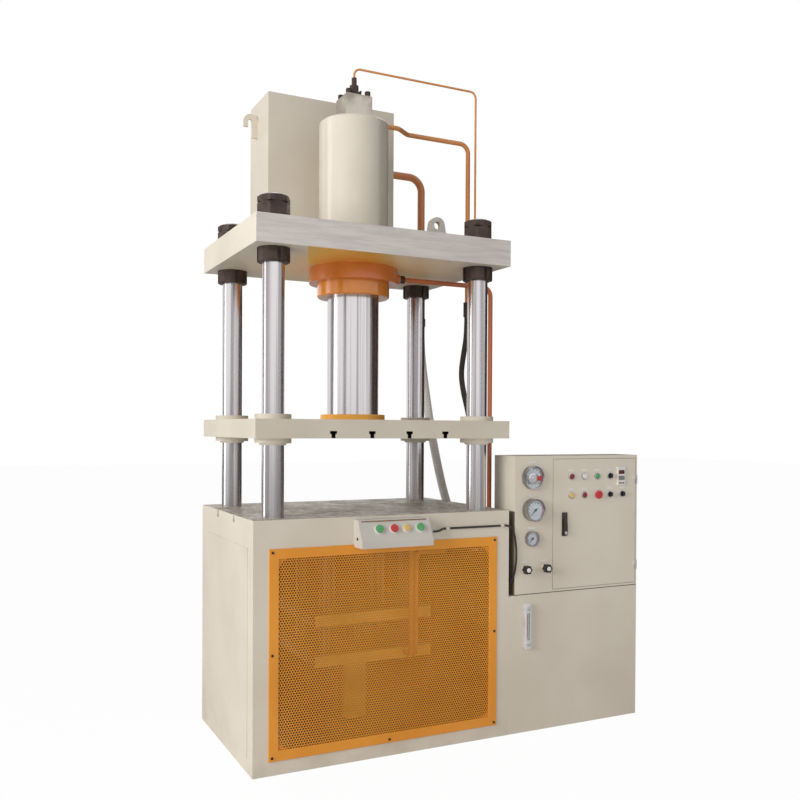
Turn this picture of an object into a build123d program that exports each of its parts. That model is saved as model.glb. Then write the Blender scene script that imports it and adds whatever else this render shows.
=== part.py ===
from build123d import *
import math
import os

# Four-column hydraulic press: the origin is on the floor under the press axis, with the front at -Y.
os.makedirs("parts", exist_ok=True)

# Clearances shared by all pieces
seat_gap = 0.05
run_gap = 0.3
edge_break = 2
small_break = 0.8

# Base frame and table slab
base_w = 1170
base_d = 800
base_wall = 12
base_floor_t = 20
table_top_z = 1000
table_t = 110
side_cover_t = 3
side_cover_margin = 70
side_cover_low_z = 57
side_cover_high_margin = 3

# T-slots of the table and the platen
slot_neck_w = 18
slot_head_w = 30
slot_head_h = 12
slot_depth = 30
table_slot_count = 2
table_slot_pitch = 250
platen_slot_count = 4
platen_slot_pitch = 171

# Front guard, and the service windows in the front and back walls of the base
guard_side_margin = 63
guard_high_margin = 3
guard_low_z = 56
guard_border = 40
guard_bar_t = 5
guard_sheet_t = 2
window_corner_r = 50
back_window_w = 250
back_window_corner_r = 15
guard_hole_cols = 12
guard_hole_rows = 10
guard_rib = 14

# Columns and their nuts
column_d = 90
column_foot_d = 80
column_inset_x = 110
column_inset_y = 100
column_stub = 8
column_chamfer = 5
nut_af = 120
top_nut_h = 66
jam_nut_h = 26
foot_nut_h = 60
foot_stub = 15
lock_nut_d = 132
lock_nut_h = 58
lock_nut_slot_w = 14
lock_nut_slot_deep = 7
nut_chamfer = 6

# Crown and its lifting lugs
crown_side_margin = 5
crown_overhang = 8
crown_t = 113
crown_under_z = 2078
lug_inset = 185
lug_y = -50
lug_t = 28
lug_base_w = 118
lug_r = 39
lug_hole_d = 36
lug_hole_h = 118

# Main cylinder, ring nut, gland and ram
barrel_d = 314
barrel_neck_d = 300
bore_d = 250
barrel_top_h = 544
barrel_cap_t = 66
barrel_chamfer = 8
ring_nut_d = 402
ring_nut_h = 67
port_boss_d = 46
port_boss_l = 14
gland_d = 327
gland_h = 63
gland_chamfer = 5
ram_d = 232
piston_h = 100
piston_lift = 50
ram_flange_d = 292
ram_flange_h = 26

# Platen and its guide bushes
platen_side_margin = 5
platen_overhang = 6
platen_t = 77
platen_under_z = 1318.5
bush_flange_d = 148
bush_flange_h = 20
bush_body_d = 118
wiper_d = 112
wiper_h = 8

# Valve block on the barrel and its top fitting
valve_block_w = 125
valve_block_h = 118
fitting_flange_d = 66
fitting_flange_h = 22
fitting_hex_af = 38
fitting_hex_h = 34
fitting_nut_af = 22
fitting_nut_h = 36

# Filler tank, its hooks and the prefill connection to the barrel
tank_w = 644
tank_d = 280
tank_h = 726
tank_set_in = 148
tank_wall = 4
hook_set_back = 160
hook_t = 14
hook_bar_w = 28
hook_tip_w = 22
hook_reach = 70
hook_drop = 62
hook_h = 112
hook_top_below_tank = 61
prefill_d = 100
prefill_wall = 6
prefill_below_top = 170

# Oil pipes, the upright ones placed by their distance from the right side of the base
pilot_d = 10
pilot_bend_r = 30
pilot_out = 55
pilot_rise = 44
pressure_d = 22
pressure_bend_r = 45
pressure_port_h = 17
pressure_jog_x = 225
pressure_jog_run = 75
pressure_out = 49
pressure_y = 60
pressure_end_z = 1980
gland_pipe_out = 127
gland_pipe_y = -30
gland_pipe_below_crown = 31
tank_pipe_d = 38
tank_pipe_bend_r = 72
tank_pipe_out = 0
tank_pipe_set_back = 208
tank_pipe_below_top = 238
tank_pipe_end_z = 1940
union_l = 26
union_wall = 6

# Hoses, each routed by its distance in X and Y from the pipe above it, and its height
hose_bend_share = 0.45
hose_d = 27
hose_ferrule_d = 36
hose_shifts = [
    (0, 0, 1910), (0, 0, 1820), (-2, 30, 1722), (-2, 52, 1632), (1, 32, 1540),
    (7, -4, 1446), (15, -24, 1338), (23, -33, 1218), (30, -39, 1098), (30, -39, 986),
]
return_d = 44
return_clamp_wall = 4
return_shifts = [
    (0, 0, 1900), (0, 0, 1790), (18, -2, 1640), (40, -6, 1490), (64, -14, 1330),
    (95, -26, 1160), (131, -44, 990), (172, -70, 862), (172, -70, 752),
]

# Ejector in the base
ejector_plate_w = 546
ejector_plate_d = 502
fixed_plate_t = 48
fixed_plate_low_z = 358
moving_plate_t = 49
moving_plate_low_z = 528
tie_rod_d = 45
tie_rod_foot_d = 36
tie_rod_pitch_x = 380
tie_rod_pitch_y = 300
tie_rod_socket = 40
tie_rod_nut_af = 55
tie_rod_nut_h = 28
ejector_barrel_d = 138
ejector_bore_d = 110
ejector_barrel_low_z = 62
ejector_end_t = 20
ejector_flange_d = 196
ejector_flange_t = 26
ejector_rod_d = 70
ejector_piston_h = 40
pin_d = 24
pin_pitch_x = 240
pin_pitch_y = 120
pin_below_table = 2
ejector_pipe_d = 20
ejector_pipe_bend_r = 30
ejector_pipe_pitch = 23
ejector_pipe_x = 157
ejector_pipe_front = 29
ejector_pipe_rise = 468
ejector_pipe_turn_in = 130
ejector_pipe_exit_y = -20

# Oil reservoir, motor and valve manifold
reservoir_w = 727
reservoir_h = 617
reservoir_wall = 5
reservoir_lid_t = 10
motor_out = 455
motor_y = 110
motor_flange_d = 300
motor_flange_t = 18
motor_d = 216
motor_h = 300
motor_fin_count = 24
motor_fin_t = 5
motor_fin_h = 12
motor_cowl_d = 236
motor_cowl_h = 80
motor_box_w = 100
motor_box_l = 120
motor_box_reach = 70
pump_hole_d = 180
manifold_out = 105
manifold_w = 140
manifold_d = 180
manifold_h = 270
solenoid_w = 46
solenoid_l = 170
solenoid_d = 70
solenoid_count = 3

# Control cabinet
cabinet_gap = 31
cabinet_d = 170
cabinet_h = 623
cabinet_wall = 3
cabinet_seam_h = 4
cabinet_seam_deep = 1.5
door_left = 207
door_right_margin = 10
door_low = 15
door_high_margin = 16
door_gap = 1.5
door_fold = 18
door_sheet = 3
hinge_pin_d = 8
hinge_leaf_w = 16
hinge_leaf_t = 3
hinge_half_l = 22
hinge_gap = 0.5
hinge_insets = [84, 100]
lock_in = 63
lock_rise = 309
lock_w = 28
lock_h = 108
lock_corner_r = 3
lock_plate_t = 6
lever_w = 20
lever_l = 84
lever_t = 9
lever_tip_w = 15
spindle_d = 16
cam_w = 18
cam_l = 92
cam_t = 4
cam_drop = 17
strike_w = 18
strike_h = 40
strike_gap = 0.5

# Gauges and regulators on the cabinet, their heights measured from the top of the reservoir
gauge_in = 90
gauge_rises = [526, 381, 251]
gauge_diameters = [106, 100, 70]
gauge_depths = [20, 36, 14]
gauge_rim = 6
gauge_cavity = 9
lens_t = 3
lens_inset = 1
needle_t = 1.2
needle_hub_d = 9
needle_w = 5
needle_tip_w = 1.2
needle_share = 0.8
needle_tail_share = 0.28
needle_zero_deg = 225
regulator_ins = [50, 159]
regulator_rise = 116
regulator_nut_af = 30
regulator_nut_h = 14
regulator_stem_d = 16
regulator_stem_l = 16
knob_d = 40
knob_h = 24
knob_lobes = 6
knob_lobe_d = 12
knob_cap_d = 18
knob_cap_h = 3

# Level gauge on the reservoir
level_out = 93
level_below_lid = 139
level_w = 32
level_h = 204
level_t = 22
level_window_w = 16
level_window_h = 120
level_window_deep = 12

# Controls on the door
panel_in = 229
panel_rise = 527
panel_pitch_x = 74
panel_pitch_z = 87
bezel_d = 32
bezel_t = 4
cap_d = 24
cap_proud = 5
button_travel = 4
housing_wall = 4
cap_inside = 18
estop_d = 38
estop_h = 12
estop_neck = 5
selector_grip_w = 9
selector_grip_h = 14
lamp_proud = 9
meter_w = 46
meter_h = 86
meter_t = 8
meter_shift = -9
meter_lift = -3

# Button box, which hangs over the upper edge of the guard, its lead and clips
box_left = -163
box_l = 322
box_back_h = 112
box_top_d = 40
box_foot_d = 86
box_foot_h = 24
box_hang = 12
box_guard_gap = 1
box_wall = 3
box_cap_t = 5
box_button_x = [-78, -11, 46, 109]
box_button_d = [34, 34, 28, 34]
box_button_rise = 55
box_bezel_wall = 4
box_bezel_t = 5
box_cap_proud = 6
box_cap_inside = 14
box_housing_wall = 3
lead_d = 9
lead_gland_d = 18
lead_gland_l = 16
lead_gland_out = 41
lead_gland_rise = 50
lead_clip_ins = [315, 39]
lead_clip_w = 16
lead_clip_wall = 2.5
lead_clip_rise = 44
lead_clip_run = 14
lead_entry_in = 60
lead_entry_rise = 32
lead_start_runs = [(30, 0, 0), (52, 12, 5)]
lead_end_runs = [
    (9, -1, 38), (25, -3, 5), (34, -4, -52), (35, -4, -112), (28, -2, -172), (16, 12, -216), (10, 34, -236),
]

# Levels and places worked out from the sizes above
table_under_z = table_top_z - table_t
base_front_y = -base_d / 2
base_right_x = base_w / 2
side_cover_d = base_d - 2 * side_cover_margin
side_cover_h = table_under_z - side_cover_low_z - side_cover_high_margin
guard_w = base_w - 2 * guard_side_margin
guard_top_z = table_under_z - guard_high_margin
guard_h = guard_top_z - guard_low_z
guard_mid_z = guard_low_z + guard_h / 2
window_w = guard_w - 2 * guard_border
window_h = guard_h - 2 * guard_border
column_pitch_x = base_w - 2 * column_inset_x
ejector_pipe_turn_x = column_pitch_x / 2 - ejector_pipe_turn_in
column_pitch_y = base_d - 2 * column_inset_y
crown_w = base_w - 2 * crown_side_margin
crown_d = base_d + 2 * crown_overhang
platen_w = base_w - 2 * platen_side_margin
platen_d = base_d + 2 * platen_overhang
lug_x = base_right_x - lug_inset
tank_front_y = base_d / 2 - tank_set_in
hook_y = tank_front_y + hook_set_back
pilot_x = base_right_x + pilot_out
pressure_x = base_right_x + pressure_out
gland_pipe_x = base_right_x + gland_pipe_out
tank_pipe_x = base_right_x + tank_pipe_out
tank_pipe_y = tank_front_y + tank_pipe_set_back
hose_route = [(pressure_x + x, pressure_y + y, z) for x, y, z in hose_shifts]
return_route = [(tank_pipe_x + x, tank_pipe_y + y, z) for x, y, z in return_shifts]
motor_x = base_right_x + motor_out
manifold_x = base_right_x + manifold_out
level_x = base_right_x + level_out
level_z = reservoir_h - level_below_lid
crown_top_z = crown_under_z + crown_t
column_top_z = crown_top_z + top_nut_h + jam_nut_h + column_stub
column_foot_z = table_under_z - foot_nut_h - foot_stub
barrel_top_z = crown_top_z + barrel_top_h
barrel_low_z = crown_under_z - ring_nut_h
gland_low_z = barrel_low_z - gland_h
platen_top_z = platen_under_z + platen_t
piston_low_z = barrel_low_z + piston_lift
valve_top_z = barrel_top_z + valve_block_h
fitting_top_z = valve_top_z + fitting_flange_h + fitting_hex_h + fitting_nut_h
tank_top_z = crown_top_z + tank_h
tank_mid_y = tank_front_y + tank_d / 2
gland_pipe_z = crown_under_z - gland_pipe_below_crown
tank_pipe_z = tank_top_z - tank_pipe_below_top
pressure_port_z = barrel_top_z + pressure_port_h
manifold_top_z = reservoir_h + manifold_h
manifold_left_x = manifold_x - manifold_w / 2
reservoir_mid_x = base_right_x + reservoir_w / 2
cabinet_left_x = base_right_x + cabinet_gap
cabinet_right_x = base_right_x + reservoir_w
cabinet_w = cabinet_right_x - cabinet_left_x
cabinet_mid_x = (cabinet_left_x + cabinet_right_x) / 2
door_left_x = cabinet_left_x + door_left
door_right_x = cabinet_right_x - door_right_margin
door_low_z = reservoir_h + door_low
door_high_z = reservoir_h + cabinet_h - door_high_margin
door_w = door_right_x - door_left_x
door_h = door_high_z - door_low_z
door_mid_x = (door_left_x + door_right_x) / 2
door_mid_z = (door_low_z + door_high_z) / 2
hinge_x = door_right_x + door_gap + hinge_leaf_t / 2
hinge_y = base_front_y - hinge_pin_d / 2 - run_gap
hinge_heights = [door_low_z + hinge_insets[0], door_high_z - hinge_insets[1]]
lock_x = door_left_x + lock_in
lock_z = reservoir_h + lock_rise
lock_pivot_z = lock_z - lock_h / 2 + lock_w / 2
gauge_x = cabinet_left_x + gauge_in
gauge_heights = [reservoir_h + rise for rise in gauge_rises]
gauges = list(zip(gauge_heights, gauge_diameters, gauge_depths))
regulator_x = [cabinet_left_x + inset for inset in regulator_ins]
regulator_z = reservoir_h + regulator_rise
panel_x = door_right_x - panel_in
panel_z = reservoir_h + panel_rise
fixed_plate_top_z = fixed_plate_low_z + fixed_plate_t
moving_plate_top_z = moving_plate_low_z + moving_plate_t
ejector_floor_z = ejector_barrel_low_z + ejector_end_t
panel_columns = [panel_x + step * panel_pitch_x for step in (-2, -1, 0, 1, 2)]
panel_low_z = panel_z - panel_pitch_z
box_right = box_left + box_l
box_low_z = table_under_z - box_hang
box_top_z = box_low_z + box_back_h
box_slope_back = base_front_y - box_top_d
box_slope_front = base_front_y - box_foot_d
box_slope_low_z = box_low_z + box_foot_h
box_step_y = base_front_y - guard_bar_t - box_guard_gap
box_step_z = guard_top_z + box_guard_gap
box_outline = [
    (base_front_y, box_step_z), (base_front_y, box_top_z), (box_slope_back, box_top_z),
    (box_slope_front, box_slope_low_z), (box_slope_front, box_low_z), (box_step_y, box_low_z), (box_step_y, box_step_z),
]
lead_gland_y = base_front_y - lead_gland_out
lead_gland_z = box_low_z + lead_gland_rise
lead_clip_x = [base_right_x - inset for inset in lead_clip_ins]
lead_run_y = base_front_y - lead_d / 2 - seat_gap
lead_run_z = table_under_z + lead_clip_rise
lead_entry_y = base_front_y + lead_entry_in
lead_entry_z = reservoir_h + lead_entry_rise
lead_grip = lead_clip_w / 2 + lead_clip_run

front_plane = Plane.XZ.offset(base_d / 2)
side_plane = Plane.YZ
box_face_low = Vector(0, box_slope_front, box_slope_low_z)
box_face_up = Vector(0, box_slope_back, box_top_z) - box_face_low
box_face = Plane(box_face_low, x_dir=(1, 0, 0), z_dir=Vector(1, 0, 0).cross(box_face_up.normalized()))
box_face_axis = Axis(box_face.origin, box_face.z_dir)


def save(piece, name):
    """Label a finished piece and write its file."""
    piece.part.label = name
    export_step(piece.part, f"parts/{name}.step")


def slot_section(depth_sign):
    """Draw one T-slot section, with its mouth on the local X axis, into the sketch that is open."""
    neck_align = Align.MIN if depth_sign > 0 else Align.MAX
    head_align = Align.MAX if depth_sign > 0 else Align.MIN
    Rectangle(slot_neck_w, slot_depth, align=(Align.CENTER, neck_align))
    with Locations((0, depth_sign * slot_depth)):
        Rectangle(slot_head_w, slot_head_h, align=(Align.CENTER, head_align))


def turned(profile_points):
    """Revolve a closed section, given as radius and height, about the press axis."""
    with BuildPart() as piece:
        with BuildSketch(Plane.XZ):
            with BuildLine():
                Polyline(*profile_points, close=True)
            make_face()
        revolve(axis=Axis.Z)
    return piece


def hex_nut(height, bore, flats):
    """Hexagon nut standing on the local origin, its upper corners turned off."""
    corner_r = flats / 2
    cone_r = flats / 2 + nut_chamfer
    with BuildPart() as nut:
        with BuildSketch():
            RegularPolygon(corner_r, 6, major_radius=False)
            Circle(bore / 2 + seat_gap, mode=Mode.SUBTRACT)
        extrude(amount=height)
        with BuildSketch(Plane.XZ):
            with BuildLine():
                Polyline(
                    (0, 0), (flats, 0), (flats, height - nut_chamfer), (cone_r, height - nut_chamfer),
                    (corner_r, height), (0, height), close=True)
            make_face()
        revolve(axis=Axis.Z, mode=Mode.INTERSECT)
    return nut.part


def pipe(points, diameter, bend_r):
    """Solid of a bent pipe along straight runs joined by bends."""
    with BuildPart() as piece:
        with BuildLine() as path:
            FilletPolyline(*points, radius=bend_r)
        with BuildSketch(Plane(path.line @ 0, z_dir=path.line % 0)):
            Circle(diameter / 2)
        sweep(path=path.line)
    return piece


def hose(route, diameter):
    """Solid of a hose or a lead along its route, each corner rounded as far as its two runs allow."""
    points = [Vector(*point) for point in route]
    radii = []
    for before, corner, after in zip(points, points[1:], points[2:]):
        turn = (corner - before).get_angle(after - corner)
        shorter = min((corner - before).length, (after - corner).length)
        radii.append(hose_bend_share * shorter / math.tan(math.radians(turn / 2)))
    with BuildPart() as piece:
        with BuildLine() as path:
            FilletPolyline(*points, radius=radii)
        with BuildSketch(Plane(path.line @ 0, z_dir=path.line % 0)):
            Circle(diameter / 2)
        sweep(path=path.line)
    length = sum(edge.length for edge in path.edges())
    fill = piece.part.volume / (math.pi * diameter ** 2 / 4 * length)
    print("hose length", round(length, 1), "bend radii", [round(r) for r in radii], "fill", round(fill, 4))
    return piece


# Base frame: floor, four walls, the windows in the front and back walls and the plain side cover
with BuildPart() as base_frame:
    with BuildSketch():
        Rectangle(base_w, base_d)
    extrude(amount=table_under_z)
    with BuildSketch(Plane.XY.offset(base_floor_t)):
        Rectangle(base_w - 2 * base_wall, base_d - 2 * base_wall)
    extrude(amount=table_under_z - base_floor_t, mode=Mode.SUBTRACT)
    with BuildSketch(front_plane):
        with Locations((0, guard_mid_z)):
            RectangleRounded(window_w, window_h, window_corner_r)
    extrude(amount=-base_wall, mode=Mode.SUBTRACT)
    with BuildSketch(Plane.XZ.offset(-base_d / 2)):
        with Locations(((back_window_w - window_w) / 2, guard_mid_z)):
            RectangleRounded(back_window_w, window_h, back_window_corner_r)
    extrude(amount=base_wall, mode=Mode.SUBTRACT)
    with BuildSketch(side_plane.offset(-base_w / 2)):
        with Locations((0, side_cover_low_z + side_cover_h / 2)):
            Rectangle(side_cover_d, side_cover_h)
    extrude(amount=-side_cover_t)
    with BuildSketch(side_plane.offset(base_right_x)):
        for step in (0, 1):
            exit_y = ejector_pipe_exit_y + step * ejector_pipe_pitch
            exit_z = fixed_plate_low_z + fixed_plate_t / 2 + ejector_pipe_rise - step * ejector_pipe_pitch
            with Locations((exit_y, exit_z)):
                Circle(ejector_pipe_d / 2 + run_gap)
    extrude(amount=-base_wall, mode=Mode.SUBTRACT)
save(base_frame, "base_frame")

# Table slab with its T-slots, column seats, pin holes and tie-rod sockets, and the clips that hold the lead
with BuildPart() as table_slab:
    with BuildSketch(Plane.XY.offset(table_under_z)):
        Rectangle(base_w, base_d)
        with GridLocations(column_pitch_x, column_pitch_y, 2, 2):
            Circle(column_foot_d / 2 + seat_gap, mode=Mode.SUBTRACT)
        with GridLocations(pin_pitch_x, pin_pitch_y, 2, 2):
            Circle(pin_d / 2 + run_gap, mode=Mode.SUBTRACT)
    extrude(amount=table_t)
    with BuildSketch(side_plane.offset(-base_w / 2)):
        with Locations((0, table_top_z)):
            with GridLocations(table_slot_pitch, 0, table_slot_count, 1):
                slot_section(-1)
    extrude(amount=base_w, mode=Mode.SUBTRACT)
    with BuildSketch(Plane.XY.offset(table_under_z)):
        with GridLocations(tie_rod_pitch_x, tie_rod_pitch_y, 2, 2):
            Circle(tie_rod_d / 2 + seat_gap)
    extrude(amount=tie_rod_socket, mode=Mode.SUBTRACT)
    for clip_x in lead_clip_x:
        with BuildSketch(side_plane.offset(clip_x - lead_clip_w / 2)):
            with Locations((lead_run_y, lead_run_z)):
                Circle(lead_d / 2 + lead_clip_wall)
                Rectangle(lead_d / 2 + seat_gap, lead_d + 2 * lead_clip_wall, align=(Align.MIN, Align.CENTER))
                Circle(lead_d / 2 + seat_gap, mode=Mode.SUBTRACT)
        extrude(amount=lead_clip_w)
save(table_slab, "table_slab")

# Front guard: a flat border and a thin sheet with staggered openings
guard_cell_w = window_w / guard_hole_cols
guard_cell_h = window_h / guard_hole_rows
guard_hole_flats = min(guard_cell_w, guard_cell_h) - guard_rib
with BuildPart() as guard_panel:
    with BuildSketch(front_plane):
        with Locations((0, guard_mid_z)):
            Rectangle(guard_w, guard_h)
            Rectangle(window_w, window_h, mode=Mode.SUBTRACT)
    extrude(amount=guard_bar_t)
    with BuildSketch(front_plane):
        with Locations((0, guard_mid_z)):
            Rectangle(window_w, window_h)
            for row in range(guard_hole_rows):
                row_z = (row - (guard_hole_rows - 1) / 2) * guard_cell_h
                row_shift = (row % 2 - 1 / 2) * guard_cell_w / 2
                with Locations((row_shift, row_z)):
                    with GridLocations(guard_cell_w, 0, guard_hole_cols - 1, 1):
                        RegularPolygon(guard_hole_flats / 2, 6, major_radius=False, mode=Mode.SUBTRACT)
    extrude(amount=guard_sheet_t)
save(guard_panel, "guard_panel")

# Columns: ground shafts that stand on the table by a shoulder
with BuildPart() as columns:
    with BuildSketch(Plane.XY.offset(column_foot_z)):
        with GridLocations(column_pitch_x, column_pitch_y, 2, 2):
            Circle(column_foot_d / 2)
    extrude(amount=table_top_z - column_foot_z)
    with BuildSketch(Plane.XY.offset(table_top_z)):
        with GridLocations(column_pitch_x, column_pitch_y, 2, 2):
            Circle(column_d / 2)
    extrude(amount=column_top_z - table_top_z)
    column_rims = columns.edges().filter_by(GeomType.CIRCLE).group_by(Axis.Z)
    chamfer(column_rims[-1] + column_rims[0], column_chamfer)
save(columns, "columns")

# Nuts: hexagon nut and jam nut over the crown, slotted round nut under it, hexagon nut under the table
with BuildPart() as round_nut:
    with BuildSketch():
        Circle(lock_nut_d / 2)
        Circle(column_d / 2 + seat_gap, mode=Mode.SUBTRACT)
        with PolarLocations(lock_nut_d / 2, 4):
            Rectangle(2 * lock_nut_slot_deep, lock_nut_slot_w, mode=Mode.SUBTRACT)
    extrude(amount=lock_nut_h)
    chamfer(round_nut.faces().sort_by(Axis.Z)[0].outer_wire().edges(), edge_break)
top_nut = hex_nut(top_nut_h, column_d, nut_af)
jam_nut = hex_nut(jam_nut_h, column_d, nut_af)
foot_nut = hex_nut(foot_nut_h, column_foot_d, nut_af)
with BuildPart() as column_nuts:
    for nut, level in (
        (top_nut, crown_top_z),
        (jam_nut, crown_top_z + top_nut_h),
        (round_nut.part, crown_under_z - lock_nut_h),
        (foot_nut, table_under_z - foot_nut_h),
    ):
        for corner in GridLocations(column_pitch_x, column_pitch_y, 2, 2):
            add(nut.moved(Location((0, 0, level))).moved(corner), mode=Mode.ADD)
save(column_nuts, "column_nuts")

# Crown plate, with two lifting lugs that stand on it as solids of their own
lug_foot_z = crown_top_z + seat_gap
lug_hole_z = crown_top_z + lug_hole_h
with BuildPart() as crown_plate:
    with BuildSketch(Plane.XY.offset(crown_under_z)):
        Rectangle(crown_w, crown_d)
        Circle(barrel_neck_d / 2 + seat_gap, mode=Mode.SUBTRACT)
        with GridLocations(column_pitch_x, column_pitch_y, 2, 2):
            Circle(column_d / 2 + seat_gap, mode=Mode.SUBTRACT)
    extrude(amount=crown_t)
    with BuildSketch(Plane.XZ.offset(-lug_y + lug_t / 2)):
        for lug_mid_x in (-lug_x, lug_x):
            with BuildLine():
                flank = Line((lug_mid_x - lug_base_w / 2, lug_foot_z), (lug_mid_x - lug_r, lug_hole_z))
                crest = ThreePointArc(flank @ 1, (lug_mid_x, lug_hole_z + lug_r), (lug_mid_x + lug_r, lug_hole_z))
                Polyline(crest @ 1, (lug_mid_x + lug_base_w / 2, lug_foot_z), flank @ 0)
            make_face()
            with Locations((lug_mid_x, lug_hole_z)):
                Circle(lug_hole_d / 2, mode=Mode.SUBTRACT)
    extrude(amount=-lug_t)
save(crown_plate, "crown_plate")

# Main cylinder barrel: a shoulder on the crown, a neck through it and a closed upper end
barrel_body = turned([
    (bore_d / 2, barrel_low_z), (barrel_neck_d / 2, barrel_low_z), (barrel_neck_d / 2, crown_top_z),
    (barrel_d / 2, crown_top_z), (barrel_d / 2, barrel_top_z - barrel_chamfer),
    (barrel_d / 2 - barrel_chamfer, barrel_top_z), (0, barrel_top_z), (0, barrel_top_z - barrel_cap_t),
    (bore_d / 2, barrel_top_z - barrel_cap_t),
])
prefill_z = barrel_top_z - prefill_below_top
with BuildPart() as main_cylinder:
    add(barrel_body.part)
    with BuildSketch(Plane.XZ):
        with Locations((0, prefill_z)):
            Circle(prefill_d / 2 - prefill_wall)
    extrude(amount=-barrel_d / 2, mode=Mode.SUBTRACT)
save(main_cylinder, "main_cylinder")

# Ring nut that draws the barrel down on the crown, with the port of the gland pipe
with BuildPart() as cylinder_ring_nut:
    with BuildSketch(Plane.XY.offset(barrel_low_z)):
        Circle(ring_nut_d / 2)
    extrude(amount=ring_nut_h)
    chamfer(cylinder_ring_nut.faces().sort_by(Axis.Z)[0].edges(), edge_break)
    with BuildSketch(side_plane):
        with Locations((gland_pipe_y, gland_pipe_z)):
            Circle(port_boss_d / 2)
    extrude(amount=ring_nut_d / 2 + port_boss_l)
    with BuildSketch(Plane.XY.offset(barrel_low_z)):
        Circle(barrel_neck_d / 2 + seat_gap)
    extrude(amount=ring_nut_h, mode=Mode.SUBTRACT)
save(cylinder_ring_nut, "cylinder_ring_nut")

# Gland that closes the barrel round the ram
gland_bore_r = ram_d / 2 + run_gap
cylinder_gland = turned([
    (gland_bore_r, gland_low_z), (gland_d / 2 - gland_chamfer, gland_low_z), (gland_d / 2, gland_low_z + gland_chamfer),
    (gland_d / 2, barrel_low_z), (gland_bore_r, barrel_low_z),
])
save(cylinder_gland, "cylinder_gland")

# Ram with its piston head, and the flange that bolts it to the platen
piston_top_z = piston_low_z + piston_h
ram = turned([
    (0, platen_top_z), (ram_d / 2, platen_top_z), (ram_d / 2, piston_low_z),
    (bore_d / 2 - run_gap, piston_low_z), (bore_d / 2 - run_gap, piston_top_z), (0, piston_top_z),
])
save(ram, "ram")
ram_flange = turned([
    (ram_d / 2 + seat_gap, platen_top_z), (ram_flange_d / 2, platen_top_z),
    (ram_flange_d / 2, platen_top_z + ram_flange_h - edge_break),
    (ram_flange_d / 2 - edge_break, platen_top_z + ram_flange_h), (ram_d / 2 + seat_gap, platen_top_z + ram_flange_h),
])
save(ram_flange, "ram_flange")

# Platen with T-slots along Y in its underside
with BuildPart() as platen:
    with BuildSketch(Plane.XY.offset(platen_under_z)):
        Rectangle(platen_w, platen_d)
        with GridLocations(column_pitch_x, column_pitch_y, 2, 2):
            Circle(bush_body_d / 2 + seat_gap, mode=Mode.SUBTRACT)
    extrude(amount=platen_t)
    with BuildSketch(Plane.XZ.offset(platen_d / 2)):
        with Locations((0, platen_under_z)):
            with GridLocations(platen_slot_pitch, 0, platen_slot_count, 1):
                slot_section(1)
    extrude(amount=-platen_d, mode=Mode.SUBTRACT)
save(platen, "platen")

# Guide bushes: a flanged bush from above and a retaining flange with a wiper lip from below
bush_bore_r = column_d / 2 + run_gap
guide_bush = turned([
    (bush_bore_r, platen_under_z), (bush_body_d / 2, platen_under_z), (bush_body_d / 2, platen_top_z),
    (bush_flange_d / 2, platen_top_z), (bush_flange_d / 2, platen_top_z + bush_flange_h - edge_break),
    (bush_flange_d / 2 - edge_break, platen_top_z + bush_flange_h), (bush_bore_r, platen_top_z + bush_flange_h),
])
bush_retainer = turned([
    (bush_bore_r, platen_under_z), (bush_flange_d / 2, platen_under_z),
    (bush_flange_d / 2, platen_under_z - bush_flange_h), (wiper_d / 2, platen_under_z - bush_flange_h),
    (wiper_d / 2 - wiper_h / 2, platen_under_z - bush_flange_h - wiper_h),
    (bush_bore_r, platen_under_z - bush_flange_h - wiper_h),
])
with BuildPart() as guide_bushes:
    for corner in GridLocations(column_pitch_x, column_pitch_y, 2, 2):
        add(guide_bush.part.moved(corner))
        add(bush_retainer.part.moved(corner))
save(guide_bushes, "guide_bushes")

# Valve block on the closed end of the barrel
with BuildPart() as valve_block:
    with BuildSketch(Plane.XY.offset(barrel_top_z)):
        Rectangle(valve_block_w, valve_block_w)
    extrude(amount=valve_block_h)
    chamfer(valve_block.edges().filter_by(Axis.Z), edge_break)
    chamfer(valve_block.faces().sort_by(Axis.Z)[-1].edges(), edge_break)
save(valve_block, "valve_block")

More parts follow.
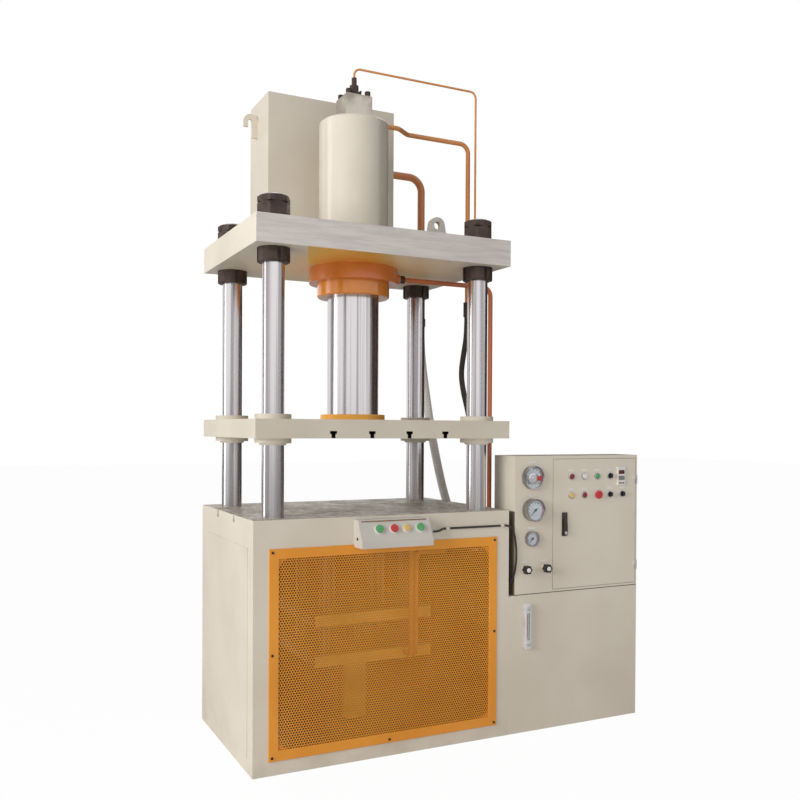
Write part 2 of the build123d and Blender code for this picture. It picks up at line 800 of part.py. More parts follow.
# Filler tank: a welded box on the crown, with a hook plate on each end and the prefill neck
hook_top_z = tank_top_z - hook_top_below_tank
hook_outer_r = hook_reach / 2
hook_inner_r = (hook_reach - hook_bar_w - hook_tip_w) / 2
with BuildPart() as filler_tank:
    with BuildSketch(Plane.XY.offset(crown_top_z)):
        with Locations((0, tank_mid_y)):
            Rectangle(tank_w, tank_d)
    extrude(amount=tank_h)
    for side in (-1, 1):
        with BuildSketch(Plane.XZ.offset(-hook_y)):
            with Locations((side * (tank_w / 2 + hook_reach / 2), hook_top_z - hook_outer_r)):
                Circle(hook_outer_r)
                Rectangle(hook_reach, hook_outer_r, align=(Align.CENTER, Align.MAX), mode=Mode.SUBTRACT)
            with Locations((side * (tank_w / 2 + hook_bar_w + hook_inner_r), hook_top_z - hook_outer_r)):
                Circle(hook_inner_r, mode=Mode.SUBTRACT)
            with Locations((side * (tank_w / 2 + hook_bar_w / 2), hook_top_z - hook_outer_r)):
                Rectangle(hook_bar_w, hook_h - hook_outer_r, align=(Align.CENTER, Align.MAX))
            with Locations((side * (tank_w / 2 + hook_reach - hook_tip_w / 2), hook_top_z - hook_outer_r)):
                Rectangle(hook_tip_w, hook_drop - hook_outer_r, align=(Align.CENTER, Align.MAX))
        extrude(amount=-hook_t)
    with BuildSketch(Plane.XZ.offset(-tank_front_y)):
        with Locations((0, prefill_z)):
            Circle(prefill_d / 2)
    extrude(amount=tank_front_y)
    with BuildSketch(Plane.XY.offset(crown_top_z)):
        Circle(barrel_d / 2 + seat_gap)
    extrude(amount=tank_h, mode=Mode.SUBTRACT)
    with BuildSketch(Plane.XY.offset(crown_top_z + tank_wall)):
        with Locations((0, tank_mid_y)):
            Rectangle(tank_w - 2 * tank_wall, tank_d - 2 * tank_wall)
    extrude(amount=tank_h - 2 * tank_wall, mode=Mode.SUBTRACT)
    with BuildSketch(Plane.XZ.offset(-tank_front_y - tank_wall)):
        with Locations((0, prefill_z)):
            Circle(prefill_d / 2 - prefill_wall)
    extrude(amount=tank_front_y, mode=Mode.SUBTRACT)
save(filler_tank, "filler_tank")

# Oil pipes, bent cold from straight tube
pilot_pipe = pipe(
    [(0, 0, fitting_top_z), (0, 0, fitting_top_z + pilot_rise), (pilot_x, 0, fitting_top_z + pilot_rise),
     (pilot_x, 0, manifold_top_z)],
    pilot_d, pilot_bend_r)
save(pilot_pipe, "pilot_pipe")
pressure_pipe = pipe(
    [(valve_block_w / 2, 0, pressure_port_z), (pressure_jog_x, 0, pressure_port_z),
     (pressure_jog_x + pressure_jog_run, pressure_y, pressure_port_z), (pressure_x, pressure_y, pressure_port_z),
     (pressure_x, pressure_y, pressure_end_z)],
    pressure_d, pressure_bend_r)
save(pressure_pipe, "pressure_pipe")
gland_pipe = pipe(
    [(ring_nut_d / 2 + port_boss_l, gland_pipe_y, gland_pipe_z), (gland_pipe_x, gland_pipe_y, gland_pipe_z),
     (gland_pipe_x, gland_pipe_y, manifold_top_z)],
    pressure_d, pressure_bend_r)
save(gland_pipe, "gland_pipe")
tank_pipe = pipe(
    [(tank_w / 2, tank_pipe_y, tank_pipe_z), (tank_pipe_x, tank_pipe_y, tank_pipe_z),
     (tank_pipe_x, tank_pipe_y, tank_pipe_end_z)],
    tank_pipe_d, tank_pipe_bend_r)
save(tank_pipe, "tank_pipe")

# Hoses: the black pressure hose and the grey return hose
pressure_hose = hose(hose_route, hose_d)
save(pressure_hose, "pressure_hose")
return_hose = hose(return_route, return_d)
save(return_hose, "return_hose")

# Fittings: top fitting of the valve block, unions, hose ferrules and clamps, and the stub on the reservoir
hose_end = hose_route[-1]
return_end = return_route[-1]
with BuildPart() as hydraulic_fittings:
    with BuildSketch(Plane.XY.offset(valve_top_z)):
        Circle(fitting_flange_d / 2)
    extrude(amount=fitting_flange_h)
    with BuildSketch(Plane.XY.offset(valve_top_z + fitting_flange_h)):
        RegularPolygon(fitting_hex_af / 2, 6, major_radius=False)
    extrude(amount=fitting_hex_h)
    with BuildSketch(Plane.XY.offset(valve_top_z + fitting_flange_h + fitting_hex_h)):
        RegularPolygon(fitting_nut_af / 2, 6, major_radius=False)
    extrude(amount=fitting_nut_h)
    for place, inner_d in (((pilot_x, 0), pilot_d), ((gland_pipe_x, gland_pipe_y), pressure_d)):
        with BuildSketch(Plane.XY.offset(manifold_top_z)):
            with Locations(place):
                RegularPolygon(inner_d / 2 + union_wall, 6, major_radius=False)
                Circle(inner_d / 2 + seat_gap, mode=Mode.SUBTRACT)
        extrude(amount=union_l)
    for start_x, start_y, start_z in (
        (valve_block_w / 2, 0, pressure_port_z),
        (ring_nut_d / 2 + port_boss_l, gland_pipe_y, gland_pipe_z),
    ):
        with BuildSketch(side_plane.offset(start_x)):
            with Locations((start_y, start_z)):
                RegularPolygon(pressure_d / 2 + union_wall, 6, major_radius=False)
                Circle(pressure_d / 2 + seat_gap, mode=Mode.SUBTRACT)
        extrude(amount=union_l)
    with BuildSketch(side_plane.offset(tank_w / 2)):
        with Locations((tank_pipe_y, tank_pipe_z)):
            Circle(tank_pipe_d / 2 + 2 * union_wall)
            Circle(tank_pipe_d / 2 + seat_gap, mode=Mode.SUBTRACT)
    extrude(amount=union_wall)
    with BuildSketch(Plane.XY.offset(hose_route[0][2])):
        with Locations((pressure_x, pressure_y)):
            Circle(hose_ferrule_d / 2)
    extrude(amount=pressure_end_z - hose_route[0][2])
    with BuildSketch(Plane.XY.offset(manifold_top_z)):
        with Locations(hose_end[:2]):
            Circle(hose_ferrule_d / 2)
    extrude(amount=hose_end[2] - manifold_top_z)
    with BuildSketch(Plane.XY.offset(return_route[0][2])):
        with Locations((tank_pipe_x, tank_pipe_y)):
            Circle(return_d / 2 + return_clamp_wall)
    extrude(amount=tank_pipe_end_z - return_route[0][2])
    with BuildSketch(Plane.XY.offset(reservoir_h)):
        with Locations(return_end[:2]):
            Circle(return_d / 2 + return_clamp_wall)
    extrude(amount=return_end[2] - reservoir_h)
save(hydraulic_fittings, "hydraulic_fittings")

# Ejector: fixed plate on tie rods, barrel below it, piston rod, moving plate and pins
with BuildPart() as ejector_fixed_plate:
    with BuildSketch(Plane.XY.offset(fixed_plate_low_z)):
        Rectangle(ejector_plate_w, ejector_plate_d)
        Circle(ejector_rod_d / 2 + run_gap, mode=Mode.SUBTRACT)
        with GridLocations(tie_rod_pitch_x, tie_rod_pitch_y, 2, 2):
            Circle(tie_rod_foot_d / 2 + seat_gap, mode=Mode.SUBTRACT)
    extrude(amount=fixed_plate_t)
save(ejector_fixed_plate, "ejector_fixed_plate")

tie_rod_nut = hex_nut(tie_rod_nut_h, tie_rod_foot_d, tie_rod_nut_af)
tie_rod = turned([
    (0, fixed_plate_low_z - tie_rod_nut_h - edge_break),
    (tie_rod_foot_d / 2, fixed_plate_low_z - tie_rod_nut_h - edge_break), (tie_rod_foot_d / 2, fixed_plate_top_z),
    (tie_rod_d / 2, fixed_plate_top_z), (tie_rod_d / 2, table_under_z + tie_rod_socket),
    (0, table_under_z + tie_rod_socket),
])
with BuildPart() as ejector_tie_rods:
    for corner in GridLocations(tie_rod_pitch_x, tie_rod_pitch_y, 2, 2):
        add(tie_rod.part.moved(corner))
        add(tie_rod_nut.moved(Location((0, 0, fixed_plate_low_z - tie_rod_nut_h))).moved(corner))
save(ejector_tie_rods, "ejector_tie_rods")

ejector_bore_top_z = fixed_plate_low_z - ejector_end_t
ejector_cylinder = turned([
    (0, ejector_barrel_low_z), (ejector_barrel_d / 2, ejector_barrel_low_z),
    (ejector_barrel_d / 2, fixed_plate_low_z - ejector_flange_t),
    (ejector_flange_d / 2, fixed_plate_low_z - ejector_flange_t), (ejector_flange_d / 2, fixed_plate_low_z),
    (ejector_rod_d / 2 + run_gap, fixed_plate_low_z), (ejector_rod_d / 2 + run_gap, ejector_bore_top_z),
    (ejector_bore_d / 2, ejector_bore_top_z), (ejector_bore_d / 2, ejector_floor_z), (0, ejector_floor_z),
])
save(ejector_cylinder, "ejector_cylinder")

ejector_piston_rod = turned([
    (0, ejector_floor_z + run_gap), (ejector_bore_d / 2 - run_gap, ejector_floor_z + run_gap),
    (ejector_bore_d / 2 - run_gap, ejector_floor_z + run_gap + ejector_piston_h),
    (ejector_rod_d / 2, ejector_floor_z + run_gap + ejector_piston_h),
    (ejector_rod_d / 2, moving_plate_low_z), (0, moving_plate_low_z),
])
save(ejector_piston_rod, "ejector_piston_rod")

with BuildPart() as ejector_plate:
    with BuildSketch(Plane.XY.offset(moving_plate_low_z)):
        Rectangle(ejector_plate_w, ejector_plate_d)
        with GridLocations(tie_rod_pitch_x, tie_rod_pitch_y, 2, 2):
            Circle(tie_rod_d / 2 + run_gap, mode=Mode.SUBTRACT)
    extrude(amount=moving_plate_t)
save(ejector_plate, "ejector_plate")

with BuildPart() as ejector_pins:
    with BuildSketch(Plane.XY.offset(moving_plate_top_z)):
        with GridLocations(pin_pitch_x, pin_pitch_y, 2, 2):
            Circle(pin_d / 2)
    extrude(amount=table_top_z - pin_below_table - moving_plate_top_z)
save(ejector_pins, "ejector_pins")

# Two pipes from the fixed plate to the manifold
ejector_front_y = -ejector_plate_d / 2
ejector_runs = []
for step in (0, 1):
    run_x = ejector_pipe_x + (step - 1 / 2) * ejector_pipe_pitch
    low_z = fixed_plate_low_z + fixed_plate_t / 2
    high_z = low_z + ejector_pipe_rise - step * ejector_pipe_pitch
    out_y = ejector_front_y - ejector_pipe_front - ejector_pipe_bend_r
    turn_x = ejector_pipe_turn_x - step * ejector_pipe_pitch
    exit_y = ejector_pipe_exit_y + step * ejector_pipe_pitch
    bend_r = min(ejector_pipe_bend_r, (turn_x - run_x) / 2 - seat_gap)
    ejector_runs.append(pipe(
        [(run_x, ejector_front_y, low_z), (run_x, out_y, low_z), (run_x, out_y, high_z),
         (turn_x, out_y, high_z), (turn_x, exit_y, high_z), (manifold_left_x, exit_y, high_z)],
        ejector_pipe_d, bend_r))
with BuildPart() as ejector_pipes:
    for run in ejector_runs:
        add(run.part)
save(ejector_pipes, "ejector_pipes")

# Oil reservoir: a welded tank with a thick lid, open only under the motor
with BuildPart() as reservoir_tank:
    with BuildSketch():
        with Locations((reservoir_mid_x, 0)):
            Rectangle(reservoir_w, base_d)
    extrude(amount=reservoir_h)
    with BuildSketch(Plane.XY.offset(reservoir_wall)):
        with Locations((reservoir_mid_x, 0)):
            Rectangle(reservoir_w - 2 * reservoir_wall, base_d - 2 * reservoir_wall)
    extrude(amount=reservoir_h - reservoir_wall - reservoir_lid_t, mode=Mode.SUBTRACT)
    with BuildSketch(Plane.XY.offset(reservoir_h)):
        with Locations((motor_x, motor_y)):
            Circle(pump_hole_d / 2)
    extrude(amount=-reservoir_lid_t, mode=Mode.SUBTRACT)
save(reservoir_tank, "reservoir_tank")

# Upright motor on the reservoir, with cooling fins, a fan cowl and a terminal box
motor_body_z = reservoir_h + motor_flange_t
motor_cowl_z = motor_body_z + motor_h
with BuildPart() as pump_motor:
    with BuildSketch(Plane.XY.offset(reservoir_h)):
        with Locations((motor_x, motor_y)):
            Circle(motor_flange_d / 2)
    extrude(amount=motor_flange_t)
    with BuildSketch(Plane.XY.offset(motor_body_z)):
        with Locations((motor_x, motor_y)):
            Circle(motor_d / 2 - motor_fin_h)
            with PolarLocations(motor_d / 2 - motor_fin_h, motor_fin_count):
                Rectangle(2 * motor_fin_h, motor_fin_t)
    extrude(amount=motor_h)
    with BuildSketch(Plane.XY.offset(motor_cowl_z)):
        with Locations((motor_x, motor_y)):
            Circle(motor_cowl_d / 2)
    extrude(amount=motor_cowl_h)
    chamfer(pump_motor.faces().sort_by(Axis.Z)[-1].edges(), motor_fin_h)
    with BuildSketch(Plane.XY.offset(motor_body_z + motor_h / 2 - motor_box_l / 2)):
        with Locations((motor_x, motor_y)):
            Rectangle(motor_box_w, motor_d / 2 + motor_box_reach, align=(Align.CENTER, Align.MIN))
    extrude(amount=motor_box_l)
save(pump_motor, "pump_motor")

# Valve manifold with its row of solenoid valves
with BuildPart() as valve_manifold:
    with BuildSketch(Plane.XY.offset(reservoir_h)):
        with Locations((manifold_x, 0)):
            Rectangle(manifold_w, manifold_d)
    extrude(amount=manifold_h)
    for step in range(solenoid_count):
        level = reservoir_h + (step + 1 / 2) * manifold_h / solenoid_count
        with BuildSketch(side_plane.offset(manifold_x + manifold_w / 2)):
            with Locations((0, level)):
                Rectangle(solenoid_l, solenoid_w)
        extrude(amount=solenoid_d)
save(valve_manifold, "valve_manifold")

# Control cabinet: a sheet-steel case with the door opening, the hinge knuckles and the regulator bodies
cabinet_mid_y = base_front_y + cabinet_d / 2
with BuildPart() as control_cabinet:
    with BuildSketch(Plane.XY.offset(reservoir_h)):
        with Locations((cabinet_mid_x, cabinet_mid_y)):
            Rectangle(cabinet_w, cabinet_d)
    extrude(amount=cabinet_h)
    with BuildSketch(Plane.XY.offset(reservoir_h + cabinet_wall)):
        with Locations((cabinet_mid_x, cabinet_mid_y)):
            Rectangle(cabinet_w - 2 * cabinet_wall, cabinet_d - 2 * cabinet_wall)
    extrude(amount=cabinet_h - 2 * cabinet_wall, mode=Mode.SUBTRACT)
    with BuildSketch(front_plane):
        with Locations((door_mid_x, door_mid_z)):
            Rectangle(door_w + 2 * door_gap, door_h + 2 * door_gap)
    extrude(amount=-cabinet_wall, mode=Mode.SUBTRACT)
    with BuildSketch(front_plane):
        with Locations((cabinet_mid_x, reservoir_h)):
            Rectangle(cabinet_w, cabinet_seam_h, align=(Align.CENTER, Align.MIN))
    extrude(amount=-cabinet_seam_deep, mode=Mode.SUBTRACT)
    with BuildSketch(front_plane.offset(-cabinet_wall)):
        with Locations((door_left_x - door_gap, lock_pivot_z)):
            Rectangle(strike_w, strike_h, align=(Align.MAX, Align.CENTER))
    extrude(amount=-cam_drop + strike_gap)
    for level in hinge_heights:
        with BuildSketch(Plane.XY.offset(level - hinge_half_l)):
            with Locations((hinge_x, hinge_y)):
                Circle(hinge_pin_d / 2)
                Rectangle(hinge_leaf_t, base_front_y - hinge_y, align=(Align.CENTER, Align.MIN))
        extrude(amount=hinge_half_l - hinge_gap / 2)
    for place_x in regulator_x:
        with BuildSketch(front_plane):
            with Locations((place_x, regulator_z)):
                RegularPolygon(regulator_nut_af / 2, 6, major_radius=False)
        extrude(amount=regulator_nut_h)
        with BuildSketch(front_plane.offset(regulator_nut_h)):
            with Locations((place_x, regulator_z)):
                Circle(regulator_stem_d / 2)
        extrude(amount=regulator_stem_l)
    with BuildSketch(side_plane.offset(cabinet_left_x)):
        with Locations((lead_entry_y, lead_entry_z)):
            Circle(lead_gland_d / 2)
            Circle(lead_d / 2 + seat_gap, mode=Mode.SUBTRACT)
    extrude(amount=-lead_gland_l / 2)
save(control_cabinet, "control_cabinet")

# Door: a folded pan with button housings, bezels and the hinge leaves
bore_r = cap_d / 2 + run_gap
housing_deep = cap_inside + button_travel + run_gap
button_places = [(x, panel_z) for x in panel_columns[:4]] + [(x, panel_low_z) for x in panel_columns]
with BuildPart() as control_door:
    with BuildSketch(front_plane):
        with Locations((door_mid_x, door_mid_z)):
            Rectangle(door_w, door_h)
    extrude(amount=-door_fold)
    with BuildSketch(front_plane.offset(-door_sheet)):
        with Locations((door_mid_x, door_mid_z)):
            Rectangle(door_w - 2 * door_sheet, door_h - 2 * door_sheet)
    extrude(amount=-door_fold, mode=Mode.SUBTRACT)
    with BuildSketch(front_plane.offset(bezel_t)):
        with Locations(*button_places):
            Circle(bezel_d / 2)
    extrude(amount=-bezel_t - housing_deep - housing_wall)
    with BuildSketch(front_plane.offset(bezel_t)):
        with Locations(*button_places):
            Circle(bore_r)
    extrude(amount=-bezel_t - housing_deep, mode=Mode.SUBTRACT)
    for level in hinge_heights:
        with BuildSketch(Plane.XY.offset(level + hinge_gap / 2)):
            with Locations((hinge_x, hinge_y)):
                Circle(hinge_pin_d / 2)
            with Locations((hinge_x, base_front_y)):
                Rectangle(hinge_leaf_w, hinge_leaf_t, align=(Align.MAX, Align.MAX))
                Rectangle(hinge_x - door_right_x, run_gap, align=(Align.MAX, Align.MAX), mode=Mode.SUBTRACT)
        extrude(amount=hinge_half_l - hinge_gap / 2)
    with BuildSketch(front_plane):
        with Locations((lock_x, lock_pivot_z)):
            Circle(spindle_d / 2 + run_gap)
    extrude(amount=-door_sheet, mode=Mode.SUBTRACT)
save(control_door, "control_door")

# Lock: plate on the door, and the lever with its spindle and cam
with BuildPart() as lock_plate:
    with BuildSketch(front_plane):
        with Locations((lock_x, lock_z)):
            RectangleRounded(lock_w, lock_h, lock_corner_r)
        with Locations((lock_x, lock_pivot_z)):
            Circle(spindle_d / 2 + run_gap, mode=Mode.SUBTRACT)
    extrude(amount=lock_plate_t)
save(lock_plate, "lock_plate")
with BuildPart() as lock_lever:
    with BuildSketch(front_plane.offset(lock_plate_t + run_gap)):
        with BuildLine():
            foot = CenterArc((lock_x, lock_pivot_z), lever_w / 2, 180, 180)
            Polyline(
                foot @ 1, (lock_x + lever_tip_w / 2, lock_pivot_z + lever_l - lever_w),
                (lock_x - lever_tip_w / 2, lock_pivot_z + lever_l - lever_w), foot @ 0)
        make_face()
    extrude(amount=lever_t)
    with BuildSketch(front_plane.offset(lock_plate_t + run_gap)):
        with Locations((lock_x, lock_pivot_z)):
            Circle(spindle_d / 2)
    extrude(amount=-lock_plate_t - run_gap - door_sheet - cam_drop)
    with BuildSketch(front_plane.offset(-door_sheet - cam_drop)):
        with Locations((lock_x, lock_pivot_z)):
            Circle(spindle_d / 2)
        with Locations((lock_x, lock_pivot_z - spindle_d / 2)):
            Rectangle(cam_w, cam_l, align=(Align.CENTER, Align.MIN))
    extrude(amount=-cam_t)
save(lock_lever, "lock_lever")

# Gauges: cases with their dials, the lenses and the needles
with BuildPart() as gauge_cases:
    for gauge_z, gauge_d, gauge_depth in gauges:
        with BuildPart() as gauge_case:
            with BuildSketch(front_plane):
                with Locations((gauge_x, gauge_z)):
                    Circle(gauge_d / 2)
            extrude(amount=gauge_depth)
            with BuildSketch(front_plane.offset(gauge_depth)):
                with Locations((gauge_x, gauge_z)):
                    Circle(gauge_d / 2 - gauge_rim)
            extrude(amount=-gauge_cavity, mode=Mode.SUBTRACT)
            chamfer(gauge_case.faces().sort_by(Axis.Y)[0].edges(), edge_break)
        add(gauge_case.part)
save(gauge_cases, "gauge_cases")
with BuildPart() as gauge_lenses:
    for gauge_z, gauge_d, gauge_depth in gauges:
        with BuildSketch(front_plane.offset(gauge_depth - lens_inset - lens_t)):
            with Locations((gauge_x, gauge_z)):
                Circle(gauge_d / 2 - gauge_rim - seat_gap)
        extrude(amount=lens_t)
save(gauge_lenses, "gauge_lenses")
for needle_name, (gauge_z, gauge_d, gauge_depth) in zip(
    ("contact_needle", "pressure_needle", "small_needle"), gauges
):
    dial_r = gauge_d / 2 - gauge_rim
    gauge_floor = gauge_depth - gauge_cavity
    with BuildPart() as needle:
        with BuildSketch(front_plane.offset(gauge_floor + run_gap)):
            with Locations((gauge_x, gauge_z)):
                Circle(needle_hub_d / 2)
        extrude(amount=gauge_cavity - lens_inset - lens_t - 2 * run_gap)
        with BuildSketch(front_plane.offset(gauge_floor + gauge_cavity / 3)):
            with Locations(Location((gauge_x, gauge_z, 0), (0, 0, needle_zero_deg))):
                Polygon(
                    (-dial_r * needle_tail_share, needle_w / 2), (-dial_r * needle_tail_share, -needle_w / 2),
                    (dial_r * needle_share, -needle_tip_w / 2), (dial_r * needle_share, needle_tip_w / 2), align=None)
        extrude(amount=needle_t)
    save(needle, needle_name)

# Regulator knobs: lobed grips with a raised cap
for knob_name, place_x in zip(("regulator_knob_left", "regulator_knob_right"), regulator_x):
    knob_back = regulator_nut_h + run_gap
    with BuildPart() as knob:
        with BuildSketch(front_plane.offset(knob_back)):
            with Locations((place_x, regulator_z)):
                Circle(knob_d / 2 - knob_lobe_d / 4)
                with PolarLocations(knob_d / 2 - knob_lobe_d / 2, knob_lobes):
                    Circle(knob_lobe_d / 2)
                Circle(regulator_stem_d / 2 + run_gap, mode=Mode.SUBTRACT)
        extrude(amount=regulator_stem_l)
        with BuildSketch(front_plane.offset(knob_back + regulator_stem_l)):
            with Locations((place_x, regulator_z)):
                Circle(knob_d / 2 - knob_lobe_d / 4)
                with PolarLocations(knob_d / 2 - knob_lobe_d / 2, knob_lobes):
                    Circle(knob_lobe_d / 2)
        extrude(amount=knob_h - regulator_stem_l)
        with BuildSketch(front_plane.offset(knob_back + knob_h)):
            with Locations((place_x, regulator_z)):
                Circle(knob_cap_d / 2)
        extrude(amount=knob_cap_h)
    save(knob, knob_name)

# Level gauge: a body with a sight window between its two bolts
with BuildPart() as level_gauge:
    with BuildSketch(front_plane):
        with Locations((level_x, level_z)):
            RectangleRounded(level_w, level_h, level_w / 4)
    extrude(amount=level_t)
    chamfer(level_gauge.faces().sort_by(Axis.Y)[0].edges(), edge_break)
    with BuildSketch(front_plane.offset(level_t)):
        with Locations((level_x, level_z)):
            Rectangle(level_window_w, level_window_h)
    extrude(amount=-level_window_deep, mode=Mode.SUBTRACT)
save(level_gauge, "level_gauge")


def push_button(place, head_d, neck_l, head_h):
    """Button in a door housing: a stem in the bore and a head, wider than the stem on a mushroom button."""
    with BuildPart() as button:
        with BuildSketch(front_plane.offset(-cap_inside)):
            with Locations(place):
                Circle(cap_d / 2)
        extrude(amount=cap_inside + bezel_t + neck_l)
        with BuildSketch(front_plane.offset(bezel_t + neck_l)):
            with Locations(place):
                Circle(head_d / 2)
        extrude(amount=head_h)
        chamfer(button.faces().sort_by(Axis.Y)[0].edges(), edge_break)
    return button


def selector(place):
    """Turn selector: a round body in the bore with a straight grip across its face."""
    with BuildPart() as knob:
        with BuildSketch(front_plane.offset(-cap_inside)):
            with Locations(place):
                Circle(cap_d / 2)
        extrude(amount=cap_inside + bezel_t + edge_break)
        with BuildSketch(front_plane.offset(bezel_t + edge_break)):
            with Locations(place):
                SlotOverall(cap_d - 2 * edge_break, selector_grip_w, rotation=90)
        extrude(amount=selector_grip_h)
    return knob


# Controls on the door
for button_name, place in (
    ("white_button", (panel_columns[1], panel_z)),
    ("green_button", (panel_columns[2], panel_z)),
    ("yellow_button", (panel_columns[0], panel_low_z)),
    ("red_button", (panel_columns[1], panel_low_z)),
):
    save(push_button(place, cap_d, 0, cap_proud), button_name)
save(push_button((panel_columns[2], panel_low_z), estop_d, estop_neck, estop_h), "emergency_stop")
for selector_name, place in (
    ("selector_upper", (panel_columns[3], panel_z)),
    ("selector_middle", (panel_columns[3], panel_low_z)),
    ("selector_right", (panel_columns[4], panel_low_z)),
):
    save(selector(place), selector_name)
with BuildPart() as signal_lamp:
    with BuildSketch(front_plane.offset(-cap_inside)):
        with Locations((panel_columns[0], panel_z)):
            Circle(cap_d / 2)
    extrude(amount=cap_inside + bezel_t + lamp_proud)
    chamfer(signal_lamp.faces().sort_by(Axis.Y)[0].edges(), lamp_proud / 2)
save(signal_lamp, "signal_lamp")
with BuildPart() as counter_meter:
    with BuildSketch(front_plane):
        with Locations((panel_columns[4] + meter_shift, panel_z + meter_lift)):
            RectangleRounded(meter_w, meter_h, edge_break)
    extrude(amount=meter_t)
    chamfer(counter_meter.faces().sort_by(Axis.Y)[0].edges(), small_break)
save(counter_meter, "counter_meter")

# Button box: a sloped housing with end caps, button bezels and the lead gland
box_bores = [d / 2 + run_gap for d in box_button_d]
box_housing_deep = box_cap_inside + button_travel + run_gap
with BuildPart() as button_box:
    with BuildSketch(side_plane.offset(box_left)):
        with BuildLine():
            Polyline(*box_outline, close=True)
        make_face()
    extrude(amount=box_l)
    with BuildSketch(side_plane.offset(box_left + box_cap_t)):
        with BuildLine():
            Polyline(*box_outline, close=True)
        make_face()
        offset(amount=-box_wall, mode=Mode.REPLACE)
    extrude(amount=box_l - 2 * box_cap_t, mode=Mode.SUBTRACT)
    for place_x, bore in zip(box_button_x, box_bores):
        with BuildSketch(box_face.offset(box_bezel_t)):
            with Locations((place_x, box_button_rise)):
                Circle(bore + box_bezel_wall)
        extrude(amount=-box_bezel_t - box_housing_deep - box_housing_wall)
        with BuildSketch(box_face.offset(box_bezel_t)):
            with Locations((place_x, box_button_rise)):
                Circle(bore)
        extrude(amount=-box_bezel_t - box_housing_deep, mode=Mode.SUBTRACT)
    with BuildSketch(side_plane.offset(box_right)):
        with Locations((lead_gland_y, lead_gland_z)):
            Circle(lead_gland_d / 2)
    extrude(amount=lead_gland_l)
save(button_box, "button_box")
for button_name, place_x, button_d in zip(
    ("box_green_left", "box_red", "box_yellow", "box_green_right"), box_button_x, box_button_d
):
    with BuildPart() as box_button:
        with BuildSketch(box_face.offset(-box_cap_inside)):
            with Locations((place_x, box_button_rise)):
                Circle(button_d / 2)
        extrude(amount=box_cap_inside + box_bezel_t + box_cap_proud)
        chamfer(box_button.faces().sort_by(box_face_axis)[-1].edges(), small_break)
    save(box_button, button_name)

# Lead of the button box, clipped along the table edge and led down into the gap beside the cabinet
lead_start = (box_right + lead_gland_l, lead_gland_y, lead_gland_z)
lead_route = [lead_start]
for x, y, z in lead_start_runs:
    lead_route.append((lead_start[0] + x, lead_start[1] + y, lead_start[2] + z))
lead_route.append((lead_clip_x[0] - lead_grip, lead_run_y, lead_run_z))
lead_route.append((lead_clip_x[1] + lead_grip, lead_run_y, lead_run_z))
for x, y, z in lead_end_runs:
    lead_route.append((base_right_x + x, lead_run_y + y, table_under_z + z))
lead_route.append((base_right_x + lead_end_runs[-1][0], lead_entry_y, lead_entry_z))
lead_route.append((cabinet_left_x, lead_entry_y, lead_entry_z))
lead = hose(lead_route, lead_d)
save(lead, "box_lead")
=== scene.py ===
"""Looks of the four-column hydraulic press: finishes, perforated guard, hoses, gauges and small fittings."""
import math

import bpy
import numpy as np
from mathutils import Matrix, Vector


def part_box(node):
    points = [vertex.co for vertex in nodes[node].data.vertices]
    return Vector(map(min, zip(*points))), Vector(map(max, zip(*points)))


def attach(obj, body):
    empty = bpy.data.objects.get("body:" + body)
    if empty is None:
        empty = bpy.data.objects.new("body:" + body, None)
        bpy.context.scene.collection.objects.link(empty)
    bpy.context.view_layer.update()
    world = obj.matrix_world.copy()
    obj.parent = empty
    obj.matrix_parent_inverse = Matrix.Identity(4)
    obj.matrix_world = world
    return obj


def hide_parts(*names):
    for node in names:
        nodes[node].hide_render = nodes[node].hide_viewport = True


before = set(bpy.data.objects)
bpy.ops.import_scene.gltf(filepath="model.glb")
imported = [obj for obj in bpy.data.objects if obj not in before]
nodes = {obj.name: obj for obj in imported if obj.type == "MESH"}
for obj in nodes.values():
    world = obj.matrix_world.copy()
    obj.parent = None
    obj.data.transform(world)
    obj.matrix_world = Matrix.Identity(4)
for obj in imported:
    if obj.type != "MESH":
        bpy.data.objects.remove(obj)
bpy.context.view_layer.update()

MM = 0.001

# Camera, solved from the straight edges of the press (millimetres and degrees)
CAMERA_PLACE = (-1596.97, -3724.19, 1357.75)
CAMERA_YAW, CAMERA_PITCH, CAMERA_ROLL = 26.267, -0.531, 0.308
FOCAL_PX, IMAGE_PX, CENTRE_Y_PX = 890.312, 800.0, 437.293
SENSOR = 36.0

# Routes of the two hoses and of the button box's lead, in millimetres
PRESSURE_HOSE = [
    (634, 60, 1910), (634, 60, 1820), (632, 90, 1722), (632, 112, 1632), (635, 92, 1540),
    (641, 56, 1446), (649, 36, 1338), (657, 27, 1218), (664, 21, 1098), (664, 21, 986),
]
PRESSURE_HOSE_D, PRESSURE_HOSE_LENGTH = 27, 940
RETURN_HOSE = [
    (585, 460, 1900), (585, 460, 1790), (603, 458, 1640), (625, 454, 1490), (649, 446, 1330),
    (680, 434, 1160), (716, 416, 990), (757, 390, 862), (757, 390, 752),
]
RETURN_HOSE_D, RETURN_HOSE_LENGTH = 44, 1168
BOX_LEAD = [
    (175, -441, 928), (205, -441, 928), (227, -429, 933), (248, -404.55, 934), (280, -404.55, 934),
    (541, -404.55, 934), (568, -404.55, 934), (594, -405.55, 928), (610, -407.55, 895), (619, -408.55, 838),
    (620, -408.55, 778), (613, -406.55, 718), (601, -392.55, 674), (595, -370.55, 654), (595, -340, 649),
    (616, -340, 649),
]
BOX_LEAD_D, BOX_LEAD_LENGTH = 9, 769


def paint(red, green, blue):
    """Linear colour of an sRGB triple from 0 to 255."""
    share = np.array([red, green, blue]) / 255.0
    linear = np.where(share <= 0.04045, share / 12.92, ((share + 0.055) / 1.055) ** 2.4)
    return (*linear.tolist(), 1.0)


